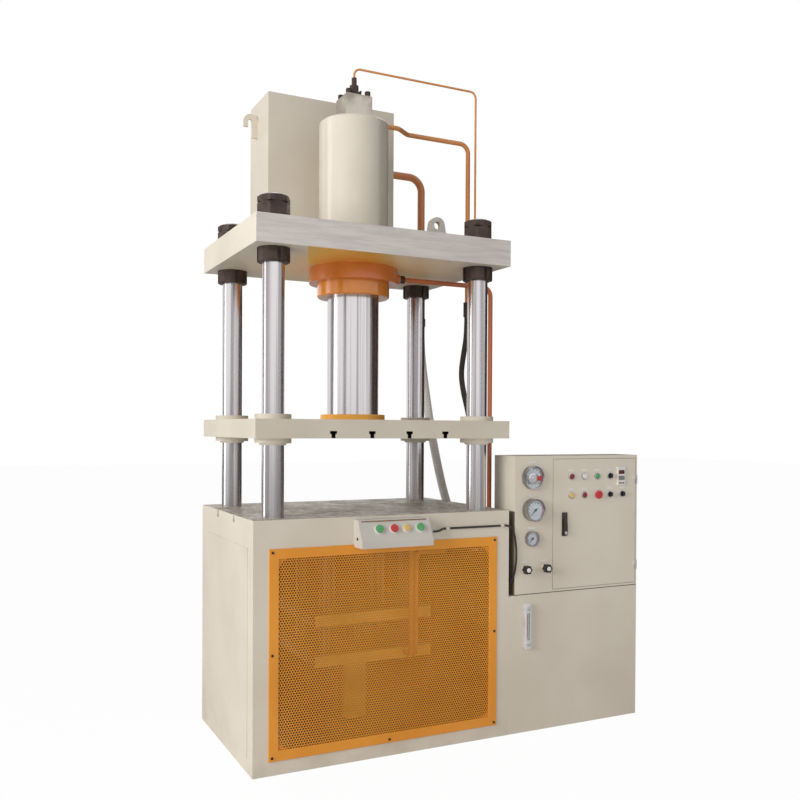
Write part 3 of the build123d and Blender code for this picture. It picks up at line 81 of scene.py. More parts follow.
class Val:
    """A value in a finish: wraps a socket, and arithmetic on it adds Math nodes."""

    def __init__(self, finish, socket):
        self.finish = finish
        self.socket = socket

    def math(self, operation, *operands):
        return self.finish.node("ShaderNodeMath", {"operation": operation}, dict(enumerate(operands)))

    def __add__(self, other):
        return self.math("ADD", self, other)

    __radd__ = __add__

    def __sub__(self, other):
        return self.math("SUBTRACT", self, other)

    def __rsub__(self, other):
        return self.math("SUBTRACT", other, self)

    def __mul__(self, other):
        return self.math("MULTIPLY", self, other)

    __rmul__ = __mul__

    def __truediv__(self, other):
        return self.math("DIVIDE", self, other)

    def __gt__(self, other):
        return self.math("GREATER_THAN", self, other)

    def __lt__(self, other):
        return self.math("LESS_THAN", self, other)

    def __mod__(self, other):
        return self.math("FLOORED_MODULO", self, other)

    def __abs__(self):
        return self.math("ABSOLUTE", self)

    def root(self):
        return self.math("SQRT", self)

    def turn_from(self, other):
        return self.math("ARCTAN2", self, other)

    def ramp(self, low, high):
        """0 below low, 1 above high and smooth between."""
        return self.finish.node(
            "ShaderNodeMapRange", {"interpolation_type": "SMOOTHSTEP"}, {0: self, 1: low, 2: high, 3: 0.0, 4: 1.0})


class Tree:
    """A node tree to which nodes are added one by one."""

    def __init__(self, tree):
        self.tree = tree

    def node(self, kind, settings, inputs, output=0):
        """One node of any kind: settings first, then the values or links of its sockets."""
        node = self.tree.nodes.new(kind)
        for key, value in settings.items():
            setattr(node, key, value)
        for key, value in inputs.items():
            self.feed(node.inputs[key], value)
        return Val(self, node.outputs[output])

    def feed(self, socket, value):
        if isinstance(value, Val):
            self.tree.links.new(value.socket, socket)
        else:
            socket.default_value = value

    def ray(self, kind):
        """1 for a ray of one kind, 0 for any other."""
        return self.node("ShaderNodeLightPath", {}, {}, f"Is {kind} Ray")


class Finish(Tree):
    """A material whose nodes feed a Principled shader."""

    def __init__(self, name, **constants):
        self.material = bpy.data.materials.new(name)
        self.material.use_nodes = True
        super().__init__(self.material.node_tree)
        self.shader = self.tree.nodes["Principled BSDF"]
        for socket_name, value in constants.items():
            self.shader.inputs[socket_name.replace("_", " ").title().replace("Ior", "IOR")].default_value = value
        self.coordinates = None

    def at(self, centre=(0, 0, 0), stretch=(1, 1, 1)):
        """Object coordinates, moved so that centre is the origin and then stretched."""
        if self.coordinates is None:
            self.coordinates = self.node("ShaderNodeTexCoord", {}, {}, "Object")
        away = tuple(-c * s for c, s in zip(centre, stretch))
        return self.node("ShaderNodeMapping", {}, {"Vector": self.coordinates, "Location": away, "Scale": stretch})

    def axes(self, vector):
        """The three parts of a vector."""
        split = self.node("ShaderNodeSeparateXYZ", {}, {0: vector})
        outputs = split.socket.node.outputs
        return [Val(self, outputs[axis]) for axis in range(3)]

    def within(self, low, high):
        """1 inside an upright box given by its corners in millimetres, 0 outside it."""
        inside = 1.0
        for part, floor, top in zip(self.axes(self.at()), low, high):
            inside = (part > floor * MM) * (part < top * MM) * inside
        return inside

    def facing(self):
        """The three parts of the surface's own direction."""
        return self.axes(self.node("ShaderNodeTexCoord", {}, {}, "Normal"))

    def noise(self, scale, detail=3.0, rough=0.5, stretch=(1, 1, 1)):
        """Cloudy value from about 0.3 to 0.7, with scale in cells a metre."""
        return self.node(
            "ShaderNodeTexNoise", {},
            {"Vector": self.at(stretch=stretch), "Scale": scale, "Detail": detail, "Roughness": rough})

    def enamel_cloud(self):
        """Slow drift of tone over painted sheet, from 0 to 1."""
        return self.noise(2.2, 4.0).ramp(0.3, 0.72)

    def cells(self, scale, stretch=(1, 1, 1)):
        """Distance to the nearest of scattered points, with scale in points a metre."""
        return self.node("ShaderNodeTexVoronoi", {}, {"Vector": self.at(stretch=stretch), "Scale": scale})

    def mix(self, share, first, second):
        """Colour that goes from first to second as share goes from 0 to 1."""
        return self.node("ShaderNodeMix", {"data_type": "RGBA"}, {0: share, 6: first, 7: second}, 2)

    def vary_surface(self, **links):
        """Feeds sockets of the shader that change over the surface."""
        for socket_name, value in links.items():
            self.feed(self.shader.inputs[socket_name.replace("_", " ").title()], value)
        return self

    def rough_up(self, height, strength, distance):
        """Bump from a height value, with distance in metres."""
        normal = self.node("ShaderNodeBump", {}, {"Height": height, "Strength": strength, "Distance": distance})
        return self.vary_surface(normal=normal)


def paint_finish(name, colour, shade, roughness, dust=0.0, zones=(), coat=0.12):
    """Sprayed enamel: cloudy tone, faint orange-peel bump, floor dust low down and zones with their own tone, some of
    them painted shade.
    """
    finish = Finish(name, coat_weight=coat, coat_roughness=0.12)
    cloud = finish.enamel_cloud()
    tone = finish.mix(cloud, colour, shade)
    speck = finish.noise(190.0, 2.0).ramp(0.66, 0.74) * 0.25
    tone = finish.mix(speck, tone, shade)
    if dust:
        height = finish.axes(finish.at())[2]
        low = (1 - height.ramp(0.0, 0.22)) * finish.noise(9.0, 5.0).ramp(0.3, 0.7) * dust
        tone = finish.mix(low, tone, DUST_AND_SHADE)
    for low, high, own_tone in zones:
        tone = finish.mix(finish.within(low, high), tone, own_tone)
    finish.vary_surface(base_color=tone, roughness=roughness + 0.16 * finish.noise(14.0, 3.0))
    return finish.rough_up(finish.noise(420.0, 1.0), 0.05, 0.0006).material


def ground_finish(name, colour, lines, roughness):
    """Ground and polished round bar: fine rings round it, painted reflection bands along it, mixed toward a grey and
    also rougher, and roughness that drifts.
    """
    finish = Finish(name, metallic=1.0)
    rings = finish.noise(lines, 2.0, stretch=(0.05, 0.05, 1.0))
    painted_reflection_bands = finish.noise(46.0, 3.0, 0.6, stretch=(1.0, 1.0, 0.006)).ramp(0.42, 0.62)
    drift = finish.noise(7.0, 3.0, stretch=(1.0, 1.0, 0.3))
    # Painted reflection: bands along the bar mixed toward a grey.
    tone = finish.mix(painted_reflection_bands * 0.8, colour, paint(150, 144, 146))
    finish.vary_surface(base_color=tone, roughness=roughness + 0.1 * drift + 0.05 * rings + 0.08 * painted_reflection_bands)
    return finish.rough_up(rings, 0.05, 0.0003).material


def forged_finish(name, colour, worn, roughness):
    """Blackened steel: soft mottling with a few rubbed spots."""
    finish = Finish(name, metallic=0.55)
    cloud = finish.noise(30.0, 4.0).ramp(0.35, 0.7)
    rub = finish.noise(75.0, 5.0).ramp(0.62, 0.76)
    tone = finish.mix(rub * 0.35, finish.mix(cloud * 0.45, colour, paint(44, 38, 35)), worn)
    finish.vary_surface(base_color=tone, roughness=roughness + 0.2 * cloud - 0.1 * rub)
    return finish.rough_up(finish.noise(260.0, 3.0), 0.12, 0.0006).material


def machined_finish(name, colour, dark, roughness, metallic=0.85):
    """Milled steel or cast plate: cutter streaks, cloudy oil marks and pores."""
    finish = Finish(name, metallic=metallic)
    streak = finish.noise(260.0, 3.0, stretch=(0.04, 1.0, 1.0))
    cloud = finish.noise(11.0, 6.0, 0.62).ramp(0.34, 0.68)
    tone = finish.mix(cloud * 0.8, colour, dark)
    finish.vary_surface(base_color=tone, roughness=roughness + 0.25 * cloud + 0.08 * streak)
    return finish.rough_up(streak, 0.1, 0.0005).material


def plastic_finish(name, colour, shade, roughness):
    """Moulded plastic: a slight tone drift and a fine moulded grain."""
    finish = Finish(name, coat_weight=0.1)
    drift = finish.noise(60.0, 2.0).ramp(0.3, 0.7)
    finish.vary_surface(base_color=finish.mix(drift, colour, shade), roughness=roughness + 0.12 * drift)
    return finish.rough_up(finish.noise(900.0, 1.0), 0.06, 0.0003).material


def hose_finish(name, colour, shade, roughness):
    """Rubber hose: a spiral wrap that shows as faint bands, with dust between them."""
    finish = Finish(name)
    height = finish.axes(finish.at())[2]
    bands = abs((height * 62.0) % 1.0 - 0.5) * 2.0
    cloud = finish.noise(25.0, 4.0).ramp(0.3, 0.7)
    tone = finish.mix(bands * 0.35 + cloud * 0.35, colour, shade)
    finish.vary_surface(base_color=tone, roughness=roughness + 0.15 * cloud)
    return finish.rough_up(bands, 0.25, 0.0012).material


def crown_finish(name):
    """Cream plate with a brushed grey front and, under it, painted orange bounce light round the cylinder and a
    polished patch in front of the cylinder whose yellow tint is a painted reflection of its ring.
    """
    finish = Finish(name)
    _, along, up = finish.facing()
    front = (0 - along).ramp(0.7, 0.9)
    under = (0 - up).ramp(0.7, 0.9)
    x, y, _ = finish.axes(finish.at())
    side = x * 0.92 - y * 0.39
    # Polished metal patch under the plate in front of the cylinder: its mirror is real, and its yellow tint is a
    # painted reflection of the cylinder's ring.
    ring_reflection_patch = under * (1 - (0 - side - y * 0.05).ramp(0.196, 0.206)) * (1 - side.ramp(0.07, 0.22))
    ring_reflection_patch = ring_reflection_patch * (1 - y.ramp(-0.1, 0.0))
    # Painted orange bounce light from the ring on the plate's underside, fading out from the cylinder's axis.
    painted_ring_bounce = under * (1 - (x * x + y * y).root().ramp(0.2, 0.62)) * 0.7
    cloud = finish.enamel_cloud()
    streak = finish.noise(70.0, 5.0, 0.65, stretch=(0.09, 1.0, 1.0)).ramp(0.3, 0.7)
    brushed = finish.mix(streak, paint(224, 218, 214), paint(205, 199, 195))
    tone = finish.mix(front, finish.mix(cloud, CREAM, CREAM_SHADE), brushed)
    tone = finish.mix(painted_ring_bounce, tone, paint(248, 202, 126))
    tone = finish.mix(ring_reflection_patch, tone, paint(255, 214, 108))
    finish.vary_surface(base_color=tone, metallic=ring_reflection_patch * 0.85, roughness=0.36 + 0.1 * streak + 0.08 * ring_reflection_patch)
    return finish.rough_up(streak * front, 0.05, 0.0005).material


def front_lit_finish(name, colour, dark):
    """Enamel with a faint cloudy tone, painted dark on all faces but those that look to the front: painted shade."""
    finish = Finish(name)
    # Painted shade: only faces that look to the front keep the enamel's tone.
    front = (0 - finish.facing()[1]).ramp(0.3, 0.8)
    cloud = finish.noise(9.0, 4.0).ramp(0.3, 0.7)
    tone = finish.mix(cloud * 0.3, colour, dark)
    finish.vary_surface(base_color=finish.mix(front, dark, tone), roughness=0.45 + 0.15 * cloud)
    return finish.material


def table_finish(name):
    """Cream sides and a bare scraped top: the direction of the face picks which."""
    finish = Finish(name, coat_weight=0.05)
    up = finish.facing()[2].ramp(0.6, 0.8)
    cloud = finish.enamel_cloud()
    cream = finish.mix(cloud, CREAM, CREAM_SHADE)
    flecks = finish.cells(34.0, stretch=(1.0, 1.5, 1.0)).ramp(0.12, 0.62)
    stain = finish.noise(9.0, 6.0, 0.65).ramp(0.36, 0.66)
    bare = finish.mix(flecks * 0.9, paint(152, 142, 130), paint(222, 214, 203))
    bare = finish.mix(stain * 0.45, bare, paint(116, 106, 95))
    finish.vary_surface(
        base_color=finish.mix(up, cream, bare), metallic=up * 0.3,
        roughness=0.42 + 0.12 * cloud + 0.15 * stain * up)
    height = flecks * up + finish.noise(420.0, 1.0) * 0.1
    return finish.rough_up(height, 0.12, 0.0006).material


def glass_finish(name, tint):
    """Clear window glass with a thin film of dust."""
    finish = Finish(name, transmission_weight=1.0, ior=1.45, base_color=tint)
    return finish.vary_surface(roughness=0.03 + 0.06 * finish.noise(40.0, 3.0)).material


def dial_finish(name, centre, radius, ground, ink, mark):
    """Gauge dial: short and long strokes over three quarters of a turn, and a coloured arc at its end."""
    finish = Finish(name, roughness=0.45)
    across, _, up = finish.axes(finish.at(centre=centre))
    reach = (across * across + up * up).root() / radius
    turn = (across.turn_from(up) + math.radians(135)) / math.radians(270)
    on_scale = (turn > 0.0) * (turn < 1.0)
    ring = (reach > 0.68) * (reach < 0.9) * on_scale
    fine = (abs((turn * 50.0 + 0.5) % 1.0 - 0.5) < 0.14) * (reach > 0.8)
    bold = abs((turn * 10.0 + 0.5) % 1.0 - 0.5) < 0.05
    strokes = (fine + bold).ramp(0.2, 0.6) * ring
    arc = (reach > 0.9) * (reach < 0.95) * (turn > 0.7) * (turn < 1.0)
    line = (reach > 0.89) * (reach < 0.905) * on_scale
    tone = finish.mix(strokes + line, ground, ink)
    tone = finish.mix(arc, tone, mark)
    return finish.vary_surface(base_color=tone).material


# The third tone serves as floor dust low on the base and also as painted shade on the cabinet's left face below the
# table.
CREAM, CREAM_SHADE, DUST_AND_SHADE = paint(222, 214, 200), paint(211, 202, 187), paint(120, 108, 94)
# Zones with a tone of their own: painted shade over the whole inside of the base, the orange wall behind the guard,
# and painted shade in the platen's slots, in the gaps round the door, in the seam at the cabinet's foot and on the
# cabinet's left face below the table
BASE_ZONES = [
    # Painted shade: the whole inside of the base is dark brown.
    ((-579, -394, 10), (579, 394, 885), paint(74, 60, 48)),
    ((-480, -401, 70), (510, -394, 860), paint(204, 128, 44)),
]
# Painted shade: the insides of the platen's T-slots are near black.
PLATEN_SLOT_SHADE = [
    ((x - 15.5, -405.4, 1319), (x + 15.5, 405.4, 1350), paint(22, 20, 19)) for x in (-256.5, -85.5, 85.5, 256.5)]
# Painted shade: dark strips along the gaps round the door, on the door and on the cabinet.
DOOR_GAP_SHADE = [
    (low, high, paint(72, 64, 58)) for low, high in (
        ((821, -399.9, 630), (823.2, -380, 1226)), ((1301.8, -399.9, 630), (1304, -380, 1226)),
        ((821, -399.9, 630), (1304, -380, 632.2)), ((821, -399.9, 1223.8), (1304, -380, 1226)))]
CABINET_SHADE_ZONES = DOOR_GAP_SHADE + [
    # Painted shade along the seam at the cabinet's foot.
    ((616, -399.9, 617), (1312, -398, 621.2), paint(96, 87, 79)),
    # Painted shade on the cabinet's left face below the table, which lies in shadow behind the base.
    ((615, -399.9, 617), (616.6, 0, 992), DUST_AND_SHADE),
]
finishes = {
    "cream": paint_finish("cream_enamel", CREAM, CREAM_SHADE, 0.36),
    "cabinet": paint_finish("cabinet_enamel", CREAM, CREAM_SHADE, 0.36, zones=CABINET_SHADE_ZONES),
    "door": paint_finish("door_enamel", CREAM, CREAM_SHADE, 0.36, zones=DOOR_GAP_SHADE),
    "base": paint_finish("base_enamel", CREAM, CREAM_SHADE, 0.36, dust=0.1, zones=BASE_ZONES),
    "platen": paint_finish("platen_enamel", paint(214, 206, 191), paint(204, 195, 180), 0.36, zones=PLATEN_SLOT_SHADE),
    "crown": crown_finish("crown_plate"),
    "orange": paint_finish("orange_enamel", paint(236, 158, 52), paint(226, 146, 42), 0.3),
    "ring": paint_finish("ring_enamel", paint(216, 124, 48), paint(196, 104, 42), 0.16, coat=0.6),
    "flange": paint_finish("flange_enamel", paint(250, 186, 76), paint(240, 172, 64), 0.3),
    "gland": paint_finish("gland_enamel", paint(230, 146, 52), paint(212, 126, 44), 0.14, coat=0.7),
    "ejector": front_lit_finish("ejector_enamel", paint(246, 206, 118), paint(92, 66, 42)),
    "pipe": paint_finish("pipe_enamel", paint(234, 158, 88), paint(214, 136, 72), 0.3, coat=0.4),
    "tank_pipe": paint_finish("tank_pipe_enamel", paint(232, 150, 92), paint(214, 128, 76), 0.32, coat=0.3),
    "dull_pipe": paint_finish("dull_pipe_enamel", paint(200, 112, 68), paint(176, 92, 56), 0.32, coat=0.3),
    "box": paint_finish("box_enamel", paint(210, 207, 200), paint(198, 194, 187), 0.4),
    "nut": forged_finish("black_oxide", paint(78, 64, 58), paint(108, 92, 84), 0.38),
    "chrome": ground_finish("hard_chrome", paint(224, 220, 222), 900.0, 0.12),
    "rod": ground_finish("ground_rod", paint(122, 104, 86), 700.0, 0.3),
    "milled": machined_finish("milled_steel", paint(206, 197, 186), paint(166, 156, 146), 0.36),
    "plated": machined_finish("plated_steel", paint(222, 221, 223), paint(184, 183, 187), 0.18, 1.0),
    "bezel": machined_finish("bezel_chrome", paint(196, 192, 192), paint(96, 90, 90), 0.1, 1.0),
    "level": machined_finish("level_body", paint(238, 238, 241), paint(214, 214, 219), 0.24, 0.7),
    "barrel": paint_finish("barrel_enamel", paint(232, 224, 210), paint(222, 213, 198), 0.24, coat=0.6),
    "table": table_finish("table_plate"),
    "black_hose": hose_finish("black_rubber", paint(38, 36, 35), paint(62, 58, 55), 0.5),
    "grey_hose": hose_finish("grey_rubber", paint(240, 236, 232), paint(218, 213, 208), 0.5),
    "lead": hose_finish("lead_sheath", paint(34, 32, 31), paint(50, 47, 45), 0.45),
    "black": plastic_finish("black_plastic", paint(34, 32, 32), paint(26, 25, 25), 0.4),
    "lock": plastic_finish("lock_plastic", paint(62, 50, 44), paint(50, 40, 35), 0.35),
    "white": plastic_finish("white_plastic", paint(232, 230, 226), paint(222, 220, 216), 0.3),
    "green": plastic_finish("green_plastic", paint(92, 172, 108), paint(78, 154, 94), 0.28),
    "yellow": plastic_finish("yellow_plastic", paint(228, 192, 116), paint(218, 180, 102), 0.28),
    "red": plastic_finish("red_plastic", paint(204, 58, 60), paint(188, 48, 50), 0.26),
    "lamp": plastic_finish("lamp_plastic", paint(142, 48, 50), paint(124, 38, 40), 0.2),
    "amber": plastic_finish("dark_display", paint(88, 22, 20), paint(70, 16, 15), 0.2),
    "grey": plastic_finish("grey_display", paint(128, 126, 124), paint(112, 110, 108), 0.35),
    "brown": plastic_finish("brown_strip", paint(142, 112, 84), paint(122, 94, 68), 0.45),
    "glass": glass_finish("gauge_glass", (0.96, 0.98, 0.98, 1.0)),
}
node_finish = {
    "base_frame": "base", "table_slab": "table", "crown_plate": "crown", "main_cylinder": "barrel",
    "filler_tank": "cream", "platen": "platen", "guide_bushes": "cream", "reservoir_tank": "cream",
    "control_cabinet": "cabinet", "control_door": "door", "ejector_fixed_plate": "ejector",
    "ejector_plate": "ejector", "ejector_cylinder": "ejector", "pump_motor": "cream",
    "cylinder_ring_nut": "ring", "cylinder_gland": "gland", "ram_flange": "flange",
    "pilot_pipe": "pipe", "pressure_pipe": "pipe", "gland_pipe": "dull_pipe", "tank_pipe": "tank_pipe",
    "ejector_pipes": "pipe", "columns": "chrome", "ram": "chrome", "ejector_tie_rods": "rod",
    "ejector_piston_rod": "rod", "ejector_pins": "rod", "column_nuts": "nut", "hydraulic_fittings": "nut",
    "valve_block": "milled", "valve_manifold": "milled", "gauge_cases": "bezel", "level_gauge": "level",
    "gauge_lenses": "glass", "lock_plate": "lock", "lock_lever": "lock", "contact_needle": "black",
    "pressure_needle": "black", "small_needle": "black", "regulator_knob_left": "black",
    "regulator_knob_right": "black", "white_button": "white", "green_button": "green", "yellow_button": "yellow",
    "red_button": "lamp", "emergency_stop": "red", "signal_lamp": "lamp", "selector_upper": "black",
    "selector_middle": "black", "selector_right": "black", "counter_meter": "white", "button_box": "box",
    "box_green_left": "green", "box_red": "red", "box_yellow": "yellow", "box_green_right": "green",
}
for node_name, finish_name in node_finish.items():
    slots = nodes[node_name].data.materials
    slots.clear()
    slots.append(finishes[finish_name])

FRONT = np.array([(1, 0, 0), (0, 0, 1), (0, -1, 0)], float)
UP = np.array([(1, 0, 0), (0, 1, 0), (0, 0, 1)], float)


def grid_faces(rows, columns, wrap_rows=False):
    """Quads of a grid that always closes round its columns, and round its rows if asked."""
    row = np.arange(rows if wrap_rows else rows - 1)[:, None]
    column = np.arange(columns)[None, :]
    below = row * columns
    above = (row + 1) % rows * columns
    beside = (column + 1) % columns
    return np.stack([below + column, below + beside, above + beside, above + column], -1).reshape(-1, 4)


def turned(profile, centre, axes=FRONT, sides=32, ring=False):
    """Radius and height of each profile point carried round an axis; the ends are flat caps, or joined for a ring."""
    radius, height = np.array(profile, float).T
    angle = np.arange(sides) * 2 * math.pi / sides + math.pi / sides
    round_part = radius[:, None, None] * (
        np.cos(angle)[None, :, None] * axes[0] + np.sin(angle)[None, :, None] * axes[1])
    points = np.array(centre) + round_part + height[:, None, None] * axes[2]
    faces = grid_faces(len(radius), sides, ring).tolist()
    if not ring:
        last = (len(radius) - 1) * sides
        faces += [list(range(sides))[::-1], list(range(last, last + sides))]
    return points.reshape(-1, 3) * MM, faces


def joined(shapes):
    """Several shapes as one list of points and faces."""
    points, faces, count = [], [], 0
    for shape_points, shape_faces in shapes:
        points.append(shape_points)
        faces += [[index + count for index in face] for face in shape_faces]
        count += len(shape_points)
    return np.concatenate(points), faces


def piece(name, shape, finish, body, angle=40):
    """Mesh object of a shape with its finish, which rides on a body; edges flatter than angle look round."""
    points, faces = shape
    mesh = bpy.data.meshes.new(name)
    mesh.from_pydata(points.tolist(), [], faces)
    mesh.update()
    mesh.set_sharp_from_angle(angle=math.radians(angle))
    mesh.polygons.foreach_set("use_smooth", np.ones(len(mesh.polygons), bool))
    made = bpy.data.objects.new(name, mesh)
    bpy.context.scene.collection.objects.link(made)
    mesh.materials.append(finishes[finish])
    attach(made, body)
    return made


def cap_screw(centre, axes, diameter, height):
    """Socket-head screw: a straight head with a broken edge and a six-sided socket."""
    outer, socket, soft = diameter / 2, diameter * 0.29, diameter * 0.06
    head = [(outer, 0), (outer, height - soft), (outer - soft, height), (socket, height), (socket, height * 0.45)]
    return turned(head, centre, axes, 18)


def plate(low, high, soft):
    """Box between two corners, in millimetres, with the edges of its front and back chamfered by soft."""
    low, high = np.array(low, float), np.array(high, float)
    middle, half = (low + high) / 2, (high - low) / 2
    ring = np.array([(-1, -1), (1, -1), (1, 1), (-1, 1)], float)
    heights = np.array([-1.0, -1.0, 1.0, 1.0]) * half[1]
    heights[1] += soft
    heights[2] -= soft
    draw = np.array([soft, 0.0, 0.0, soft])
    spread = ring[None] * (half[[0, 2]][None, None] - draw[:, None, None])
    points = np.stack([spread[..., 0], np.broadcast_to(-heights[:, None], (4, 4)), spread[..., 1]], -1) + middle
    faces = grid_faces(4, 4).tolist() + [[3, 2, 1, 0], [12, 13, 14, 15]]
    return points.reshape(-1, 3) * MM, faces


# Perforated guard: sheet, border and screws
guard_low, guard_high = (np.array(corner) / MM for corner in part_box("guard_panel"))
GUARD_BORDER, GUARD_CORNER, GUARD_SOFT = 40.0, 3.0, 1.2
GUARD_TOP, GUARD_FACE, GUARD_FOOT = -405.0, -402.0, -400.0
HOLE_PITCH, HOLE_FLATS, SHEET_THICK, SHEET_LAP = 11.2, 7.6, 2.0, 4.0
GUARD_SCREW_D, GUARD_SCREW_HIGH, GUARD_SCREW_IN = 11, 3, 14


def perforated_sheet():
    """Triangular lattice of six-sided holes: strips between facing sides and triangles between three corners.
    Edges met by one face only, at holes and at the rim, are walled through to the back."""
    row_pitch = HOLE_PITCH * math.sqrt(3) / 2
    width, _, height = guard_high - guard_low - 2 * (GUARD_BORDER - SHEET_LAP)
    columns, rows = math.ceil(width / HOLE_PITCH) + 1, math.ceil(height / row_pitch) + 1
    column, row = np.meshgrid(np.arange(columns), np.arange(rows))
    middle = (guard_low + guard_high) / 2
    centre_x = (column - (columns - 1) / 2 + (row % 2) / 2 - 0.25) * HOLE_PITCH + middle[0]
    centre_z = (row - (rows - 1) / 2) * row_pitch + middle[2]
    angle = np.radians(np.arange(6) * 60 + 30)
    corner_r = HOLE_FLATS / math.sqrt(3)
    x = centre_x[..., None] + corner_r * np.cos(angle)
    z = centre_z[..., None] + corner_r * np.sin(angle)
    front = np.stack([x, np.full_like(x, GUARD_FACE), z], -1).reshape(-1, 3)
    back = front + (0, SHEET_THICK, 0)
    hole = (row * columns + column) * 6

    def other(step_row, side):
        """First corner of the neighbour one row up, to the right or left, and whether it exists."""
        shift = column + (row % 2 if side > 0 else row % 2 - 1)
        there = (row + step_row < rows) & (shift >= 0) & (shift < columns)
        return ((row + step_row) * columns + shift) * 6, there

    right_there = column + 1 < columns
    right = hole + 6
    up_right, up_right_there = other(1, 1)
    up_left, up_left_there = other(1, -1)
    strips = [
        np.stack([hole + 5, right + 3, right + 2, hole + 0], -1)[right_there],
        np.stack([hole + 0, up_right + 4, up_right + 3, hole + 1], -1)[up_right_there],
        np.stack([hole + 1, up_left + 5, up_left + 4, hole + 2], -1)[up_left_there],
    ]
    corners = [
        np.stack([hole + 0, right + 2, up_right + 4], -1)[right_there & up_right_there],
        np.stack([hole + 1, up_right + 3, up_left + 5], -1)[up_right_there & up_left_there],
    ]
    quads = np.concatenate(strips)
    triangles = np.concatenate(corners)
    edges = np.concatenate(
        [quads[:, [k, (k + 1) % 4]] for k in range(4)] + [triangles[:, [k, (k + 1) % 3]] for k in range(3)])
    count = len(front)
    key = edges[:, 0] * count + edges[:, 1]
    reverse = edges[:, 1] * count + edges[:, 0]
    rim = edges[~np.isin(reverse, key)]
    walls = np.stack([rim[:, 1], rim[:, 0], rim[:, 0] + count, rim[:, 1] + count], -1)
    faces = np.concatenate([quads, quads[:, ::-1] + count, walls]).tolist()
    faces += np.concatenate([triangles, triangles[:, ::-1] + count]).tolist()
    return np.concatenate([front, back]) * MM, faces


def guard_border():
    """Flat bar ring: a rounded inner line and a square outer line, with the bar's section carried round them."""
    middle = (guard_low + guard_high) / 2
    half = (guard_high - guard_low) / 2
    arc = np.radians(np.linspace(0, 90, 9))
    angle = np.concatenate([arc + quarter * math.pi / 2 for quarter in range(4)])
    sign = np.repeat([(1, 1), (-1, 1), (-1, -1), (1, -1)], len(arc), 0)
    reach = GUARD_BORDER + GUARD_CORNER
    hub = sign * (half[[0, 2]] - reach)
    ray = np.stack([np.cos(angle), np.sin(angle)], -1)
    inner = hub + ray * GUARD_CORNER
    outer = hub + ray * reach / np.abs(ray).max(-1, keepdims=True)
    inward = (inner - outer) / np.linalg.norm(inner - outer, axis=-1, keepdims=True) * GUARD_SOFT
    edge = GUARD_TOP + GUARD_SOFT
    levels = [(outer, GUARD_FOOT), (outer, edge), (outer + inward, GUARD_TOP),
              (inner - inward, GUARD_TOP), (inner, edge), (inner, GUARD_FOOT)]
    points = np.stack([
        np.stack([line[:, 0] + middle[0], np.full(len(line), depth), line[:, 1] + middle[2]], -1)
        for line, depth in levels])
    return points.reshape(-1, 3) * MM, grid_faces(len(levels), points.shape[1], True).tolist()


guard_sheet = piece("guard_sheet", perforated_sheet(), "orange", "frame", 20)
piece("guard_rim", guard_border(), "orange", "frame")
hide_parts("guard_panel")
guard_mid = (guard_low + guard_high) / 2
guard_half = (guard_high - guard_low) / 2 - GUARD_SCREW_IN
guard_places = [
    (guard_mid[0] + x * guard_half[0], GUARD_TOP, guard_mid[2] + z * guard_half[2])
    for x in (-1, 0, 1) for z in (-1, 0, 1) if (x, z) != (0, 0)]
guard_screws = [cap_screw(place, FRONT, GUARD_SCREW_D, GUARD_SCREW_HIGH) for place in guard_places]
piece("guard_screws", joined(guard_screws), "nut", "frame")


def hose_line(name, route, diameter, finish):
    """Smooth hose or lead: one open spline whose control points are the route, with a round section."""
    curve = bpy.data.curves.new(name, "CURVE")
    curve.dimensions = "3D"
    curve.bevel_depth = diameter / 2 * MM
    curve.bevel_resolution = 6
    curve.resolution_u = 8
    curve.use_fill_caps = True
    spline = curve.splines.new("NURBS")
    spline.points.add(len(route) - 1)
    spline.points.foreach_set("co", np.column_stack([np.array(route) * MM, np.ones(len(route))]).ravel())
    spline.order_u = 3
    spline.use_endpoint_u = True
    made = bpy.data.objects.new(name, curve)
    bpy.context.scene.collection.objects.link(made)
    curve.materials.append(finishes[finish])
    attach(made, "frame")
    return made


black_hose = hose_line(
    "black_hose", PRESSURE_HOSE, PRESSURE_HOSE_D, "black_hose")
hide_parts("pressure_hose")
grey_hose = hose_line("grey_hose", RETURN_HOSE, RETURN_HOSE_D, "grey_hose")
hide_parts("return_hose")
lead_line = hose_line("lead_line", BOX_LEAD, BOX_LEAD_D, "lead")
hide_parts("box_lead")

# Gauges: printed dials and turned bezels; each gauge has its height, diameter and front
DIAL_INSET, DIAL_DEPTH, DIAL_THICK = 6, 9, 0.2
gauge_x = 706.0
gauges = {"contact": (1143, 106, -420), "pressure": (998, 100, -436), "small": (868, 70, -414)}
for gauge_name, (gauge_z, gauge_d, gauge_front) in gauges.items():
    outer = gauge_d / 2
    dial_r = outer - DIAL_INSET
    finishes[gauge_name + "_dial"] = dial_finish(
        gauge_name + "_dial", (gauge_x * MM, 0, gauge_z * MM), dial_r * MM,
        paint(226, 228, 236), paint(44, 48, 66), paint(196, 60, 52))
    disc = [(dial_r - 0.1, 0), (dial_r - 0.1, DIAL_THICK)]
    piece(gauge_name + "_dial", turned(disc, (gauge_x, gauge_front + DIAL_DEPTH, gauge_z), FRONT, 48),
          gauge_name + "_dial", "frame")
    bezel = [(outer - 6, -3), (outer + 0.1, -3), (outer + 0.5, -1.8), (outer + 0.2, 0.6), (outer - 2.0, 1.8),
             (outer - 5.4, 0.6)]
    piece(gauge_name + "_bezel", turned(bezel, (gauge_x, gauge_front, gauge_z), FRONT, 48, True),
          "bezel", "frame")

